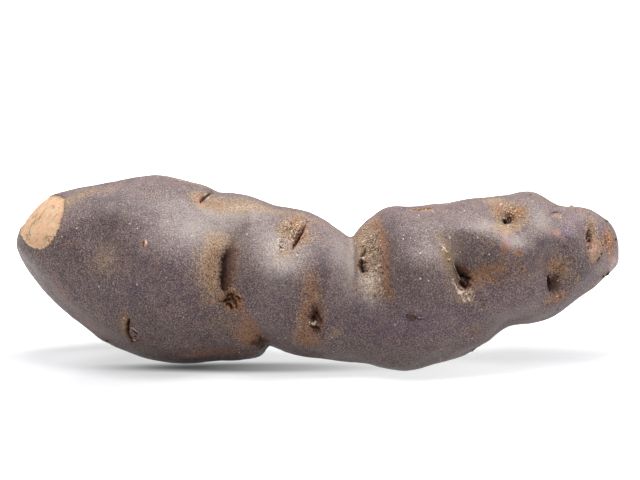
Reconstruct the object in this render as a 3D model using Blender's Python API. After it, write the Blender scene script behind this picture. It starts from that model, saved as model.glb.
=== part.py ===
"""A long, knobbly purple potato: one grown tuber, modelled as one closed solid.

+X runs from the stem end (the broad lobe with a corky scar) to the rose end, +Z is up, and the tuber lies on z = 0.
The table below gives its height and depth at stations along its length. Lobes, waists, creases and the hollows of its eyes
are then pressed into that smooth body or swelled out of it. Lengths are in millimetres until the mesh is written in metres.
"""

import math

import bmesh
import bpy
import numpy as np

MM = 0.001
AROUND = 15  # cells on each of the four sides of a ring
RINGS = 66  # cells along the tuber between its two end caps

# ---- driving dimensions (mm) ----
STEM_TIP = (-60.0, 24.2)  # x and height of the tip at the stem end
ROSE_TIP = (60.2, 21.4)  # x and height of the tip at the rose end
SMOOTHING = 0.7  # how far the loft rounds the corners between stations
CAP_REACH = 0.085  # share of the outline's length that each end cap takes
STAND = (0.11, 3.08, 0.0)  # moves the tuber so that the origin is under the middle of its box

# x, top, bottom, middle of the depth (negative is towards the front), half depth
STATIONS = (
    (-57.6, 30.4, 18.0, 1.0, 6.4),
    (-53.6, 33.0, 12.6, 1.0, 9.9),
    (-48.6, 34.5, 8.4, 1.0, 12.7),
    (-43.6, 35.4, 4.6, 1.0, 14.8),
    (-38.6, 36.5, 2.1, 0.6, 16.3),
    (-33.6, 37.1, 0.4, 0.4, 17.2),
    (-28.6, 36.9, -0.5, 0.0, 17.4),
    (-23.6, 36.0, -0.1, -0.4, 16.9),
    (-19.6, 34.5, 0.2, -0.9, 15.9),
    (-15.6, 33.7, 0.4, -1.5, 15.6),
    (-13.2, 33.4, 1.1, -2.0, 15.4),
    (-11.0, 32.5, 2.0, -2.4, 15.3),
    (-8.6, 31.6, 2.3, -2.9, 15.4),
    (-3.6, 31.1, 1.6, -3.8, 15.6),
    (1.4, 29.1, 1.0, -4.7, 14.8),
    (4.4, 27.2, 0.9, -5.2, 13.7),
    (6.8, 26.4, 0.9, -5.6, 12.9),
    (8.8, 28.6, 0.7, -6.0, 12.9),
    (11.2, 30.5, 0.1, -6.4, 13.6),
    (13.6, 31.8, -0.5, -6.8, 14.6),
    (16.4, 32.1, -0.7, -6.9, 15.3),
    (19.4, 32.1, 0.0, -6.9, 15.6),
    (22.4, 32.4, 0.9, -6.7, 15.4),
    (25.4, 32.6, 1.2, -6.4, 15.0),
    (28.0, 32.9, 2.0, -6.0, 14.5),
    (32.8, 33.5, 4.5, -5.3, 14.0),
    (37.6, 34.2, 8.0, -4.5, 13.8),
    (42.4, 34.5, 8.6, -3.7, 13.2),
    (47.2, 32.2, 9.8, -3.0, 11.6),
    (49.6, 31.7, 11.1, -2.7, 10.8),
    (52.0, 31.5, 13.6, -2.4, 10.0),
    (54.4, 30.8, 15.2, -2.1, 8.7),
    (56.8, 29.2, 16.9, -1.8, 7.0),
    (59.2, 26.3, 19.1, -1.6, 4.3),
)


def monotone(places, values, x):
    """Cubic curve through the values with no overshoot between them."""
    h = np.diff(places)
    rise = np.diff(values) / h
    slope = np.zeros(len(values))
    for i in range(1, len(values) - 1):
        if rise[i - 1] * rise[i] > 0:
            a, b = 2 * h[i] + h[i - 1], h[i] + 2 * h[i - 1]
            slope[i] = (a + b) / (a / rise[i - 1] + b / rise[i])
    slope[0], slope[-1] = rise[0], rise[-1]
    i = np.clip(np.searchsorted(places, x) - 1, 0, len(h) - 1)
    t = (x - places[i]) / h[i]
    return (
        (1 + 2 * t) * (1 - t) ** 2 * values[i]
        + t * (1 - t) ** 2 * h[i] * slope[i]
        + t * t * (3 - 2 * t) * values[i + 1]
        + t * t * (t - 1) * h[i] * slope[i + 1]
    )


def loft_table():
    """Smooth curves through the stations, on 3000 places along the tuber: x, middle z, middle y, and the half height and half depth divided by the sphere's own."""
    x0, x1 = STEM_TIP[0], ROSE_TIP[0]
    middle, half = (x0 + x1) / 2, (x1 - x0) / 2
    rows = np.array(STATIONS)
    round_off = np.sqrt(1 - ((rows[:, 0] - middle) / half) ** 2)
    tall = (rows[:, 1] - rows[:, 2]) / 2 / round_off
    deep = rows[:, 4] / round_off
    places = np.concatenate([[x0], rows[:, 0], [x1]])
    curves = (
        np.concatenate([[STEM_TIP[1]], (rows[:, 1] + rows[:, 2]) / 2, [ROSE_TIP[1]]]),
        np.concatenate([[rows[0, 3]], rows[:, 3], [rows[-1, 3]]]),
        np.concatenate([[tall[0]], tall, [tall[-1]]]),
        np.concatenate([[deep[0]], deep, [deep[-1]]]),
    )
    x = np.linspace(x0, x1, 3000)
    step = x[1] - x[0]
    reach = int(4 * SMOOTHING / step)
    kernel = np.exp(-0.5 * (np.arange(-reach, reach + 1) * step / SMOOTHING) ** 2)
    kernel /= kernel.sum()
    smooth = []
    for values in curves:
        line = monotone(places, values, x)
        # reflected about the ends, so that the tips keep their own height
        padded = np.concatenate(
            [2 * line[0] - line[reach:0:-1], line, 2 * line[-1] - line[-2 : -reach - 2 : -1]]
        )
        smooth.append(np.convolve(padded, kernel, "valid"))
    return (x, *smooth)


X, MID_Z, MID_Y, TALL, DEEP = loft_table()
X_MIDDLE, X_HALF = (X[0] + X[-1]) / 2, (X[-1] - X[0]) / 2


def at(x, table):
    return np.interp(x, X, table)


def body(unit):
    """Points of the unit sphere, moved onto the smooth body."""
    x = X_MIDDLE + X_HALF * unit[:, 0]
    return np.stack(
        [
            x,
            at(x, MID_Y) + at(x, DEEP) * unit[:, 1],
            at(x, MID_Z) + at(x, TALL) * unit[:, 2],
        ],
        axis=1,
    )


def sphere_place(p):
    """The inverse of body: where a point lies against the unit sphere. Its length is 1 on the smooth body."""
    x = p[:, 0]
    return np.stack(
        [
            (x - X_MIDDLE) / X_HALF,
            (p[:, 1] - at(x, MID_Y)) / at(x, DEEP),
            (p[:, 2] - at(x, MID_Z)) / at(x, TALL),
        ],
        axis=1,
    )


def onto_body(p):
    """Points near the smooth body, moved onto it."""
    for _ in range(2):
        unit = sphere_place(p)
        p = body(unit / np.linalg.norm(unit, axis=1)[:, None])
    return p


def outward(p):
    """The smooth body's outward direction at points on it."""
    slope = np.empty_like(p)
    for k in range(3):
        step = np.zeros(3)
        step[k] = 0.05
        slope[:, k] = np.linalg.norm(sphere_place(p + step), axis=1) - np.linalg.norm(
            sphere_place(p - step), axis=1
        )
    return slope / np.linalg.norm(slope, axis=1)[:, None]


# ---- where things are on the skin ----
# Places on the front are given as they are seen from a little above: an eye 500 mm away looks down 9 degrees at the middle
# of the tuber. u is along the tuber and v is up, both in mm on the sheet through the tuber's middle that faces that eye.
LOOK_DOWN = math.radians(9.0)
SIGHT_DISTANCE = 500.0
SIGHT_CENTRE = np.array([0.4, 0.0, 24.4])
SIGHT = np.array([0.0, math.cos(LOOK_DOWN), -math.sin(LOOK_DOWN)])
UP_ON_SHEET = np.array([0.0, math.sin(LOOK_DOWN), math.cos(LOOK_DOWN)])
EYE_POINT = SIGHT_CENTRE - SIGHT_DISTANCE * SIGHT
V_OF_CENTRE = 24.6


def seen(u, v):
    """The place on the smooth body that the eye sees at (u, v) on the sheet."""
    on_sheet = (
        SIGHT_CENTRE
        + np.array([u - SIGHT_CENTRE[0], 0.0, 0.0])
        + (v - V_OF_CENTRE) * UP_ON_SHEET
    )
    way = on_sheet - EYE_POINT
    way /= np.linalg.norm(way)
    reach = np.linspace(SIGHT_DISTANCE - 40, SIGHT_DISTANCE + 40, 1601)
    points = EYE_POINT + reach[:, None] * way
    inside = np.linalg.norm(sphere_place(points), axis=1)
    hits = np.where(inside < 1)[0]
    # a line of sight that just misses takes the place that it passes closest to
    return onto_body(points[[hits[0] if len(hits) else inside.argmin()]])[0]


def around(x, turn):
    """The place at x along the tuber and turn degrees round it: 0 is the front, 90 the top, 180 the back, -90 the underside."""
    along = (x - X_MIDDLE) / X_HALF
    out = math.sqrt(max(0.0, 1 - along * along))
    a = math.radians(turn)
    return body(np.array([[along, -out * math.cos(a), out * math.sin(a)]]))[0]


def tangents(place, turn=0.0):
    """The outward direction at a place, and two directions along the skin: towards the rose end, and up round the tuber, both turned by some degrees."""
    n = outward(place[None])[0]
    a = np.array([1.0, 0.0, 0.0]) - n[0] * n
    a /= np.linalg.norm(a)
    b = np.cross(n, a)
    if abs(n[2]) < 0.98 and b[2] < 0:
        b = -b
    c, s = math.cos(math.radians(turn)), math.sin(math.radians(turn))
    return n, c * a + s * b, -s * a + c * b


def swell(p, n, place, long, wide, turn, height):
    """A soft round swelling (or, with a negative height, a hollow) that fades over long and wide mm."""
    m, a, b = tangents(place, turn)
    d = p - place
    side = np.clip(n @ m * 2 + 0.4, 0, 1)
    return height * side * np.exp(-((d @ a / long) ** 2) - (d @ b / wide) ** 2 - (d @ m / 14) ** 4)


def smooth_line(places, per_piece=10):
    """Points on the smooth body along a curve through some places, and how far along the places each one is."""
    q = np.array(places)
    q = np.concatenate([[2 * q[0] - q[1]], q, [2 * q[-1] - q[-2]]])
    t = np.linspace(0, len(places) - 1, per_piece * (len(places) - 1) + 1)
    i = np.minimum(t.astype(int), len(places) - 2)
    f = (t - i)[:, None]
    a, b, c, d = q[i], q[i + 1], q[i + 2], q[i + 3]
    line = 0.5 * (2 * b + (c - a) * f + (2 * a - 5 * b + 4 * c - d) * f**2 + (3 * b - a - 3 * c + d) * f**3)
    return onto_body(line), t


def beside(p, n, places, reach):
    """For the points within reach of a curve over the skin: which they are, how far across it they lie (positive on its right as it runs upwards), how far along its places, and how far off its ends."""
    line, t = smooth_line(places)
    low, high = line.min(axis=0) - reach, line.max(axis=0) + reach
    near = np.nonzero(((p > low) & (p < high)).all(axis=1))[0]
    if len(near) == 0:
        return near, np.zeros(0), np.zeros(0), np.zeros(0)
    gap = np.linalg.norm(p[near, None, :] - line[None], axis=2)
    k = gap.argmin(axis=1)
    close = gap[np.arange(len(near)), k] < reach
    near, k = near[close], k[close]
    face = outward(line)
    run = np.gradient(line, axis=0)
    run /= np.linalg.norm(run, axis=1)[:, None]
    across = np.cross(run, face)
    across /= np.linalg.norm(across, axis=1)[:, None]
    d = p[near] - line[k]
    same_side = np.einsum("ij,ij->i", n[near], face[k]) > -0.1
    off = np.einsum("ij,ij->i", d, across[k])
    past = np.einsum("ij,ij->i", d, run[k])
    return near[same_side], off[same_side], t[k][same_side], past[same_side]


def groove(p, n, places, left, right, depths, power=1.35):
    """A groove along a curve. Its wall is left mm wide on one side and right mm wide on the other, as the curve runs upwards."""
    height = np.zeros(len(p))
    near, off, t, past = beside(p, n, places, 3.2 * max(left, right))
    deep = np.interp(t, np.arange(len(depths)), depths)
    span = np.where(off < 0, left, right)
    height[near] = -deep * np.exp(-((np.hypot(off, past * 0.6) / span) ** power))
    return height


# ---- the lobes and hollows ----
# u, v on the sheet, how far it reaches along and round the tuber, turn, height
FRONT_FORMS = (
    ("belly of the stem lobe", -36.0, 14.0, 15.0, 8.0, 0, 0.6),
    ("swell of the stem lobe before the first crease", -27.5, 16.0, 9.0, 8.0, 14, 2.1),
    ("saddle on the shoulder", -20.5, 28.8, 9.5, 6.5, -20, -1.9),
    ("flat on the left of the stem lobe", -43.0, 24.6, 7.5, 4.6, 12, -1.1),
    ("hollow by the first crease", -17.0, 20.5, 3.0, 7.0, 12, -0.8),
    ("left half of the second lobe", -10.6, 17.0, 5.0, 7.5, 0, 2.4),
    ("lit corner of the second lobe", -6.4, 16.6, 4.2, 3.4, 0, 1.9),
    ("right half of the second lobe", 4.2, 20.5, 3.6, 9.5, 0, 1.8),
    ("belly of the second lobe", -3.0, 8.0, 8.0, 4.6, 0, 0.5),
    ("waist", 11.8, 21.0, 3.8, 8.5, 6, -2.3),
    ("third lobe", 21.5, 20.6, 6.8, 8.0, 0, 2.3),
    ("lit corner of the third lobe", 21.6, 18.2, 4.8, 4.0, 0, 1.3),
    ("hollow of the deep eye", 31.0, 18.6, 5.2, 4.6, 25, -2.8),
    ("shoulder above the deep eye", 30.5, 25.4, 6.5, 2.8, -14, 1.6),
    ("fourth lobe", 40.0, 15.0, 6.0, 5.5, 0, 0.9),
    ("dimple of the high eye", 38.0, 28.6, 3.2, 3.0, 0, -1.5),
    ("ridge under the high eye", 39.4, 21.8, 4.0, 2.9, 0, 1.4),
    ("saddle beside the high eye", 44.8, 25.2, 3.0, 3.4, 0, 1.2),
    ("hollow of the lower eye near the rose end", 47.6, 18.4, 3.4, 3.6, 0, -2.0),
    ("hollow of the eye at the rose end", 54.6, 25.0, 2.1, 4.2, 6, -1.2),
    ("swelling between the last two eyes", 51.0, 24.4, 2.2, 3.2, 0, 0.7),
)
# x, turn round the tuber, reach along and round, turn, height
OTHER_FORMS = (
    ("back of the stem lobe", -36.0, 190, 13.0, 12.0, 0, 0.8),
    ("back waist after the stem lobe", -17.0, 176, 3.6, 13.0, -8, -1.9),
    ("back of the second lobe", -7.0, 182, 6.0, 10.0, 0, 1.0),
    ("back waist", 8.0, 170, 3.6, 12.0, 10, -1.8),
    ("back of the third lobe", 18.5, 186, 6.5, 10.0, 0, 0.9),
    ("back hollow", 28.5, 172, 3.8, 6.5, 12, -1.6),
    ("back of the fourth lobe", 38.5, 184, 6.0, 8.0, 0, 0.8),
    ("hollow of the back eye of the stem lobe", -41.0, 158, 4.0, 5.0, 0, -0.9),
    ("hollow of the low back eye", -25.0, 216, 3.6, 4.6, 10, -0.9),
    ("hollow of the back eye at the rose end", 48.5, 170, 3.0, 4.4, 0, -1.2),
    ("top knob of the third lobe", 14.0, 92, 3.4, 5.0, 0, 0.25),
    ("hollow under the second lobe", 2.0, -88, 6.0, 5.0, 0, -0.7),
)


def flat_places(*uv):
    return [seen(u, v) for u, v in uv]


# Creases where one lobe closes over the next: places along them from the top or the front, the width of the wall on the
# stem side and on the rose side, and the depth at each place
CREASES = (
    (
        "deep crease after the stem lobe",
        flat_places((-13.8, 30.4), (-15.4, 27.6), (-17.6, 23.6), (-19.4, 19.8), (-19.8, 16.4), (-19.2, 13.6)),
        0.7,
        2.4,
        (0.0, 0.4, 1.2, 2.1, 2.0, 0.2),
    ),
    (
        "crease under the stem lobe",
        flat_places((-14.6, 9.0), (-12.4, 5.6), (-10.4, 3.6))
        + [around(-9.8, -72), around(-9.8, -92), around(-10.8, -120), around(-12.6, -150)],
        2.4,
        0.9,
        (0.0, 0.8, 1.7, 1.8, 1.5, 1.0, 0.0),
    ),
    (
        "fold over the waist",
        [around(7.6, 150), around(7.0, 122), around(6.8, 98)]
        + flat_places((6.8, 25.2), (7.0, 21.0), (7.2, 16.0), (7.4, 12.4)),
        0.7,
        3.0,
        (0.0, 0.7, 0.8, 0.9, 0.8, 0.5, 0.0),
    ),
    (
        "groove of the top eye of the stem lobe",
        flat_places((-20.6, 34.8), (-22.6, 33.2), (-24.6, 31.6)),
        1.5,
        1.8,
        (0.9, 0.8, 0.0),
    ),
    (
        "groove of the top eye of the second lobe",
        flat_places((-0.6, 31.0), (-2.4, 28.4), (-4.2, 25.4), (-5.4, 22.6)),
        2.2,
        1.8,
        (0.3, 1.2, 1.2, 0.0),
    ),
    (
        "groove between the halves of the second lobe",
        flat_places((-2.6, 20.6), (-1.4, 16.4), (-0.4, 11.0), (-0.2, 6.0)),
        2.2,
        2.2,
        (0.0, 0.9, 1.3, 0.2),
    ),
)

# The corky scar where the tuber broke off its stem: a nearly flat face across the stem end
SCAR_FACING = np.array([-0.732, -0.389, 0.559]) / math.sqrt(0.732**2 + 0.389**2 + 0.559**2)
SCAR_MIDDLE = np.array([-55.3, -2.0, 27.8])
SCAR_SWELL = 1.4
SCAR_CROWN = np.array([-57.25, -2.6, 27.6])
SCAR_ROUND = 20.0  # the scar bulges a little, like a piece of a ball of this radius
SCAR_EDGE = 0.25


def forms(p, n):
    """How far the lobes, waists and creases stand out of the smooth body, or sink into it, at each point."""
    height = np.zeros(len(p))
    for _, u, v, long, wide, turn, h in FRONT_FORMS:
        height += swell(p, n, seen(u, v), long, wide, turn, h)
    for _, x, where, long, wide, turn, h in OTHER_FORMS:
        height += swell(p, n, around(x, where), long, wide, turn, h)
    for _, places, stem_side, rose_side, depths in CREASES:
        height += groove(p, n, places, stem_side, rose_side, depths)
    # the stem end swells a little before the scar cuts it
    height += swell(p, n, onto_body(SCAR_MIDDLE[None])[0], 6.5, 6.5, 0, SCAR_SWELL)
    # slow unevenness of a grown thing, in three crossing waves
    for way, wave, phase, h in (
        ((0.9, 0.3, 0.5), 13.0, 0.4, 0.16),
        ((0.4, -0.8, 0.7), 9.5, 2.1, 0.13),
        ((0.6, 0.7, -0.6), 7.0, 4.0, 0.09),
    ):
        height += h * np.sin(2 * math.pi * (p @ np.array(way)) / wave + phase)
    return height


def over_scar(out):
    """How far places lie outside the scar."""
    return np.linalg.norm(out - (SCAR_CROWN - SCAR_ROUND * SCAR_FACING), axis=1) - SCAR_ROUND


def settle(out):
    """The scar cuts the stem end, and where the tuber lies, its own weight presses it flat."""
    above = over_scar(out)
    fade = np.clip((13.0 - np.linalg.norm(out - SCAR_MIDDLE, axis=1)) / 4.5, 0, 1)
    fade = fade * fade * (3 - 2 * fade)
    cut = SCAR_EDGE * np.logaddexp(0, above / SCAR_EDGE)
    out = out - (fade * cut)[:, None] * SCAR_FACING
    out[:, 2] = np.maximum(out[:, 2], 0.0)
    return out


def sphere_of_block(co):
    """Corners of a divided block from -1 to 1, moved onto the unit sphere, so that after body() its cells come out even: the long sides wrap the tuber and the two ends cap it."""
    turned = np.linspace(0, math.pi, 4001)
    x = X_MIDDLE - X_HALF * np.cos(turned)
    girth = 0.5 * (at(x, TALL) + at(x, DEEP)) * np.sin(turned)
    run = np.concatenate([[0], np.cumsum(np.hypot(np.diff(x), np.diff(girth)))])
    run /= run[-1]
    y, z = co[:, 1], co[:, 2]
    disc = np.stack([y * np.sqrt(1 - z * z / 2), z * np.sqrt(1 - y * y / 2)], axis=1)
    out = np.linalg.norm(disc, axis=1)
    where = np.where(
        np.abs(co[:, 0]) > 1 - 1e-6,
        CAP_REACH * out,
        CAP_REACH + (1 - 2 * CAP_REACH) * (co[:, 0] + 1) / 2,
    )
    where = np.where(co[:, 0] > 1 - 1e-6, 1 - where, where)
    angle = np.interp(where, run, turned)
    disc /= np.maximum(out, 1e-12)[:, None]
    return np.stack([-np.cos(angle), np.sin(angle) * disc[:, 0], np.sin(angle) * disc[:, 1]], axis=1)


def divided_block(bm, around_cells, rings):
    """A closed block with square-ended sides, cut into cells."""
    bmesh.ops.create_cube(bm, size=2.0)
    long = [e for e in bm.edges if abs(e.verts[0].co.x - e.verts[1].co.x) > 1]
    bmesh.ops.subdivide_edges(bm, edges=long, cuts=rings - 1, use_grid_fill=True)
    for axis in (1, 2):
        cross = [e for e in bm.edges if abs(e.verts[0].co[axis] - e.verts[1].co[axis]) > 1]
        bmesh.ops.subdivide_edges(bm, edges=cross, cuts=around_cells - 1, use_grid_fill=True)


def positions(bm):
    return np.array([v.co for v in bm.verts])


def place_all(bm, points):
    for v, q in zip(bm.verts, points):
        v.co = q


def make_potato():
    bm = bmesh.new()
    divided_block(bm, AROUND, RINGS)
    smooth = body(sphere_of_block(positions(bm)))
    facing = outward(smooth)
    skin = settle(smooth + facing * forms(smooth, facing)[:, None])
    place_all(bm, (skin + np.array(STAND)) * MM)
    bmesh.ops.recalc_face_normals(bm, faces=bm.faces)
    mesh = bpy.data.meshes.new("potato")
    bm.to_mesh(mesh)
    bm.free()
    mesh.shade_smooth()
    potato = bpy.data.objects.new("potato", mesh)
    bpy.context.scene.collection.objects.link(potato)
    return potato


def skin_material():
    material = bpy.data.materials.new("potato_skin")
    material.use_nodes = True
    shader = material.node_tree.nodes["Principled BSDF"]
    shader.inputs["Base Color"].default_value = (0.155, 0.113, 0.103, 1.0)
    shader.inputs["Roughness"].default_value = 0.55
    shader.inputs["Metallic"].default_value = 0.0
    return material


def main():
    for old in list(bpy.data.objects):
        bpy.data.objects.remove(old)
    potato = make_potato()
    potato.data.materials.append(skin_material())


main()
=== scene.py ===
import math

import bmesh
import bpy
import numpy as np
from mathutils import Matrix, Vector


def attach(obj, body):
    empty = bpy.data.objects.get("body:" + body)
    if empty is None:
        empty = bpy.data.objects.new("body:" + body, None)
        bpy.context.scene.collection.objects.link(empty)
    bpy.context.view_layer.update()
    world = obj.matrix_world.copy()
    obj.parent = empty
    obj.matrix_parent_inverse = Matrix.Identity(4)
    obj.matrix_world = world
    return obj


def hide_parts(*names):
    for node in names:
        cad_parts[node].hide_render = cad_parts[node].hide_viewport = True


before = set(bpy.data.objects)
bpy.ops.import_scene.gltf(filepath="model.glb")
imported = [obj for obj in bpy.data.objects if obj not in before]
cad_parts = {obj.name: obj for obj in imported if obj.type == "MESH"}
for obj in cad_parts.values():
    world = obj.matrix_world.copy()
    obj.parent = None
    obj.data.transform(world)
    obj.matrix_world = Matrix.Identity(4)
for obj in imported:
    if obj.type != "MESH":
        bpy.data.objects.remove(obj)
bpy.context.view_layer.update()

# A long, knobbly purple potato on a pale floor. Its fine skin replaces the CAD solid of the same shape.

MM = 0.001
AROUND = 48  # cells on each of the four sides of a ring
RINGS = 220  # cells along the tuber between its two end caps

# ---- driving dimensions (mm) ----
STEM_TIP = (-60.0, 24.2)  # x and height of the tip at the stem end
ROSE_TIP = (60.2, 21.4)  # x and height of the tip at the rose end
SMOOTHING = 0.7  # how far the loft rounds the corners between stations
CAP_REACH = 0.085  # share of the outline's length that each end cap takes
STAND = (0.11, 3.08, 0.0)  # moves the tuber so that the origin is under the middle of its box

# x, top, bottom, middle of the depth (negative is towards the front), half depth
STATIONS = (
    (-57.6, 30.4, 18.0, 1.0, 6.4),
    (-53.6, 33.0, 12.6, 1.0, 9.9),
    (-48.6, 34.5, 8.4, 1.0, 12.7),
    (-43.6, 35.4, 4.6, 1.0, 14.8),
    (-38.6, 36.5, 2.1, 0.6, 16.3),
    (-33.6, 37.1, 0.4, 0.4, 17.2),
    (-28.6, 36.9, -0.5, 0.0, 17.4),
    (-23.6, 36.0, -0.1, -0.4, 16.9),
    (-19.6, 34.5, 0.2, -0.9, 15.9),
    (-15.6, 33.7, 0.4, -1.5, 15.6),
    (-13.2, 33.4, 1.1, -2.0, 15.4),
    (-11.0, 32.5, 2.0, -2.4, 15.3),
    (-8.6, 31.6, 2.3, -2.9, 15.4),
    (-3.6, 31.1, 1.6, -3.8, 15.6),
    (1.4, 29.1, 1.0, -4.7, 14.8),
    (4.4, 27.2, 0.9, -5.2, 13.7),
    (6.8, 26.4, 0.9, -5.6, 12.9),
    (8.8, 28.6, 0.7, -6.0, 12.9),
    (11.2, 30.5, 0.1, -6.4, 13.6),
    (13.6, 31.8, -0.5, -6.8, 14.6),
    (16.4, 32.1, -0.7, -6.9, 15.3),
    (19.4, 32.1, 0.0, -6.9, 15.6),
    (22.4, 32.4, 0.9, -6.7, 15.4),
    (25.4, 32.6, 1.2, -6.4, 15.0),
    (28.0, 32.9, 2.0, -6.0, 14.5),
    (32.8, 33.5, 4.5, -5.3, 14.0),
    (37.6, 34.2, 8.0, -4.5, 13.8),
    (42.4, 34.5, 8.6, -3.7, 13.2),
    (47.2, 32.2, 9.8, -3.0, 11.6),
    (49.6, 31.7, 11.1, -2.7, 10.8),
    (52.0, 31.5, 13.6, -2.4, 10.0),
    (54.4, 30.8, 15.2, -2.1, 8.7),
    (56.8, 29.2, 16.9, -1.8, 7.0),
    (59.2, 26.3, 19.1, -1.6, 4.3),
)


def monotone(places, values, x):
    """Cubic curve through the values with no overshoot between them."""
    h = np.diff(places)
    rise = np.diff(values) / h
    slope = np.zeros(len(values))
    for i in range(1, len(values) - 1):
        if rise[i - 1] * rise[i] > 0:
            a, b = 2 * h[i] + h[i - 1], h[i] + 2 * h[i - 1]
            slope[i] = (a + b) / (a / rise[i - 1] + b / rise[i])
    slope[0], slope[-1] = rise[0], rise[-1]
    i = np.clip(np.searchsorted(places, x) - 1, 0, len(h) - 1)
    t = (x - places[i]) / h[i]
    return (
        (1 + 2 * t) * (1 - t) ** 2 * values[i]
        + t * (1 - t) ** 2 * h[i] * slope[i]
        + t * t * (3 - 2 * t) * values[i + 1]
        + t * t * (t - 1) * h[i] * slope[i + 1]
    )


def loft_table():
    """Smooth curves through the stations, on 3000 places along the tuber: x, middle z, middle y, and the half height and half depth divided by the sphere's own."""
    x0, x1 = STEM_TIP[0], ROSE_TIP[0]
    middle, half = (x0 + x1) / 2, (x1 - x0) / 2
    rows = np.array(STATIONS)
    round_off = np.sqrt(1 - ((rows[:, 0] - middle) / half) ** 2)
    tall = (rows[:, 1] - rows[:, 2]) / 2 / round_off
    deep = rows[:, 4] / round_off
    places = np.concatenate([[x0], rows[:, 0], [x1]])
    curves = (
        np.concatenate([[STEM_TIP[1]], (rows[:, 1] + rows[:, 2]) / 2, [ROSE_TIP[1]]]),
        np.concatenate([[rows[0, 3]], rows[:, 3], [rows[-1, 3]]]),
        np.concatenate([[tall[0]], tall, [tall[-1]]]),
        np.concatenate([[deep[0]], deep, [deep[-1]]]),
    )
    x = np.linspace(x0, x1, 3000)
    step = x[1] - x[0]
    reach = int(4 * SMOOTHING / step)
    kernel = np.exp(-0.5 * (np.arange(-reach, reach + 1) * step / SMOOTHING) ** 2)
    kernel /= kernel.sum()
    smooth = []
    for values in curves:
        line = monotone(places, values, x)
        # reflected about the ends, so that the tips keep their own height
        padded = np.concatenate(
            [2 * line[0] - line[reach:0:-1], line, 2 * line[-1] - line[-2 : -reach - 2 : -1]]
        )
        smooth.append(np.convolve(padded, kernel, "valid"))
    return (x, *smooth)


X, MID_Z, MID_Y, TALL, DEEP = loft_table()
X_MIDDLE, X_HALF = (X[0] + X[-1]) / 2, (X[-1] - X[0]) / 2


def at(x, table):
    return np.interp(x, X, table)


def body(unit):
    """Points of the unit sphere, moved onto the smooth body."""
    x = X_MIDDLE + X_HALF * unit[:, 0]
    return np.stack(
        [
            x,
            at(x, MID_Y) + at(x, DEEP) * unit[:, 1],
            at(x, MID_Z) + at(x, TALL) * unit[:, 2],
        ],
        axis=1,
    )


def sphere_place(p):
    """The inverse of body: where a point lies against the unit sphere. Its length is 1 on the smooth body."""
    x = p[:, 0]
    return np.stack(
        [
            (x - X_MIDDLE) / X_HALF,
            (p[:, 1] - at(x, MID_Y)) / at(x, DEEP),
            (p[:, 2] - at(x, MID_Z)) / at(x, TALL),
        ],
        axis=1,
    )


def onto_body(p):
    """Points near the smooth body, moved onto it."""
    for _ in range(2):
        unit = sphere_place(p)
        p = body(unit / np.linalg.norm(unit, axis=1)[:, None])
    return p


def outward(p):
    """The smooth body's outward direction at points on it."""
    slope = np.empty_like(p)
    for k in range(3):
        step = np.zeros(3)
        step[k] = 0.05
        slope[:, k] = np.linalg.norm(sphere_place(p + step), axis=1) - np.linalg.norm(
            sphere_place(p - step), axis=1
        )
    return slope / np.linalg.norm(slope, axis=1)[:, None]


# ---- where things are on the skin ----
# Places on the front are given as they are seen from a little above: an eye 500 mm away looks down 9 degrees at the middle
# of the tuber. u is along the tuber and v is up, both in mm on the sheet through the tuber's middle that faces that eye.
LOOK_DOWN = math.radians(9.0)
SIGHT_DISTANCE = 500.0
SIGHT_CENTRE = np.array([0.4, 0.0, 24.4])
SIGHT = np.array([0.0, math.cos(LOOK_DOWN), -math.sin(LOOK_DOWN)])
UP_ON_SHEET = np.array([0.0, math.sin(LOOK_DOWN), math.cos(LOOK_DOWN)])
EYE_POINT = SIGHT_CENTRE - SIGHT_DISTANCE * SIGHT
V_OF_CENTRE = 24.6


def seen(u, v):
    """The place on the smooth body that the eye sees at (u, v) on the sheet."""
    on_sheet = (
        SIGHT_CENTRE
        + np.array([u - SIGHT_CENTRE[0], 0.0, 0.0])
        + (v - V_OF_CENTRE) * UP_ON_SHEET
    )
    way = on_sheet - EYE_POINT
    way /= np.linalg.norm(way)
    reach = np.linspace(SIGHT_DISTANCE - 40, SIGHT_DISTANCE + 40, 1601)
    points = EYE_POINT + reach[:, None] * way
    inside = np.linalg.norm(sphere_place(points), axis=1)
    hits = np.where(inside < 1)[0]
    # a line of sight that just misses takes the place that it passes closest to
    return onto_body(points[[hits[0] if len(hits) else inside.argmin()]])[0]


def around(x, turn):
    """The place at x along the tuber and turn degrees round it: 0 is the front, 90 the top, 180 the back, -90 the underside."""
    along = (x - X_MIDDLE) / X_HALF
    out = math.sqrt(max(0.0, 1 - along * along))
    a = math.radians(turn)
    return body(np.array([[along, -out * math.cos(a), out * math.sin(a)]]))[0]


def tangents(place, turn=0.0):
    """The outward direction at a place, and two directions along the skin: towards the rose end, and up round the tuber, both turned by some degrees."""
    n = outward(place[None])[0]
    a = np.array([1.0, 0.0, 0.0]) - n[0] * n
    a /= np.linalg.norm(a)
    b = np.cross(n, a)
    if abs(n[2]) < 0.98 and b[2] < 0:
        b = -b
    c, s = math.cos(math.radians(turn)), math.sin(math.radians(turn))
    return n, c * a + s * b, -s * a + c * b


def swell(p, n, place, long, wide, turn, height):
    """A soft round swelling (or, with a negative height, a hollow) that fades over long and wide mm."""
    m, a, b = tangents(place, turn)
    d = p - place
    side = np.clip(n @ m * 2 + 0.4, 0, 1)
    return height * side * np.exp(-((d @ a / long) ** 2) - (d @ b / wide) ** 2 - (d @ m / 14) ** 4)


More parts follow.
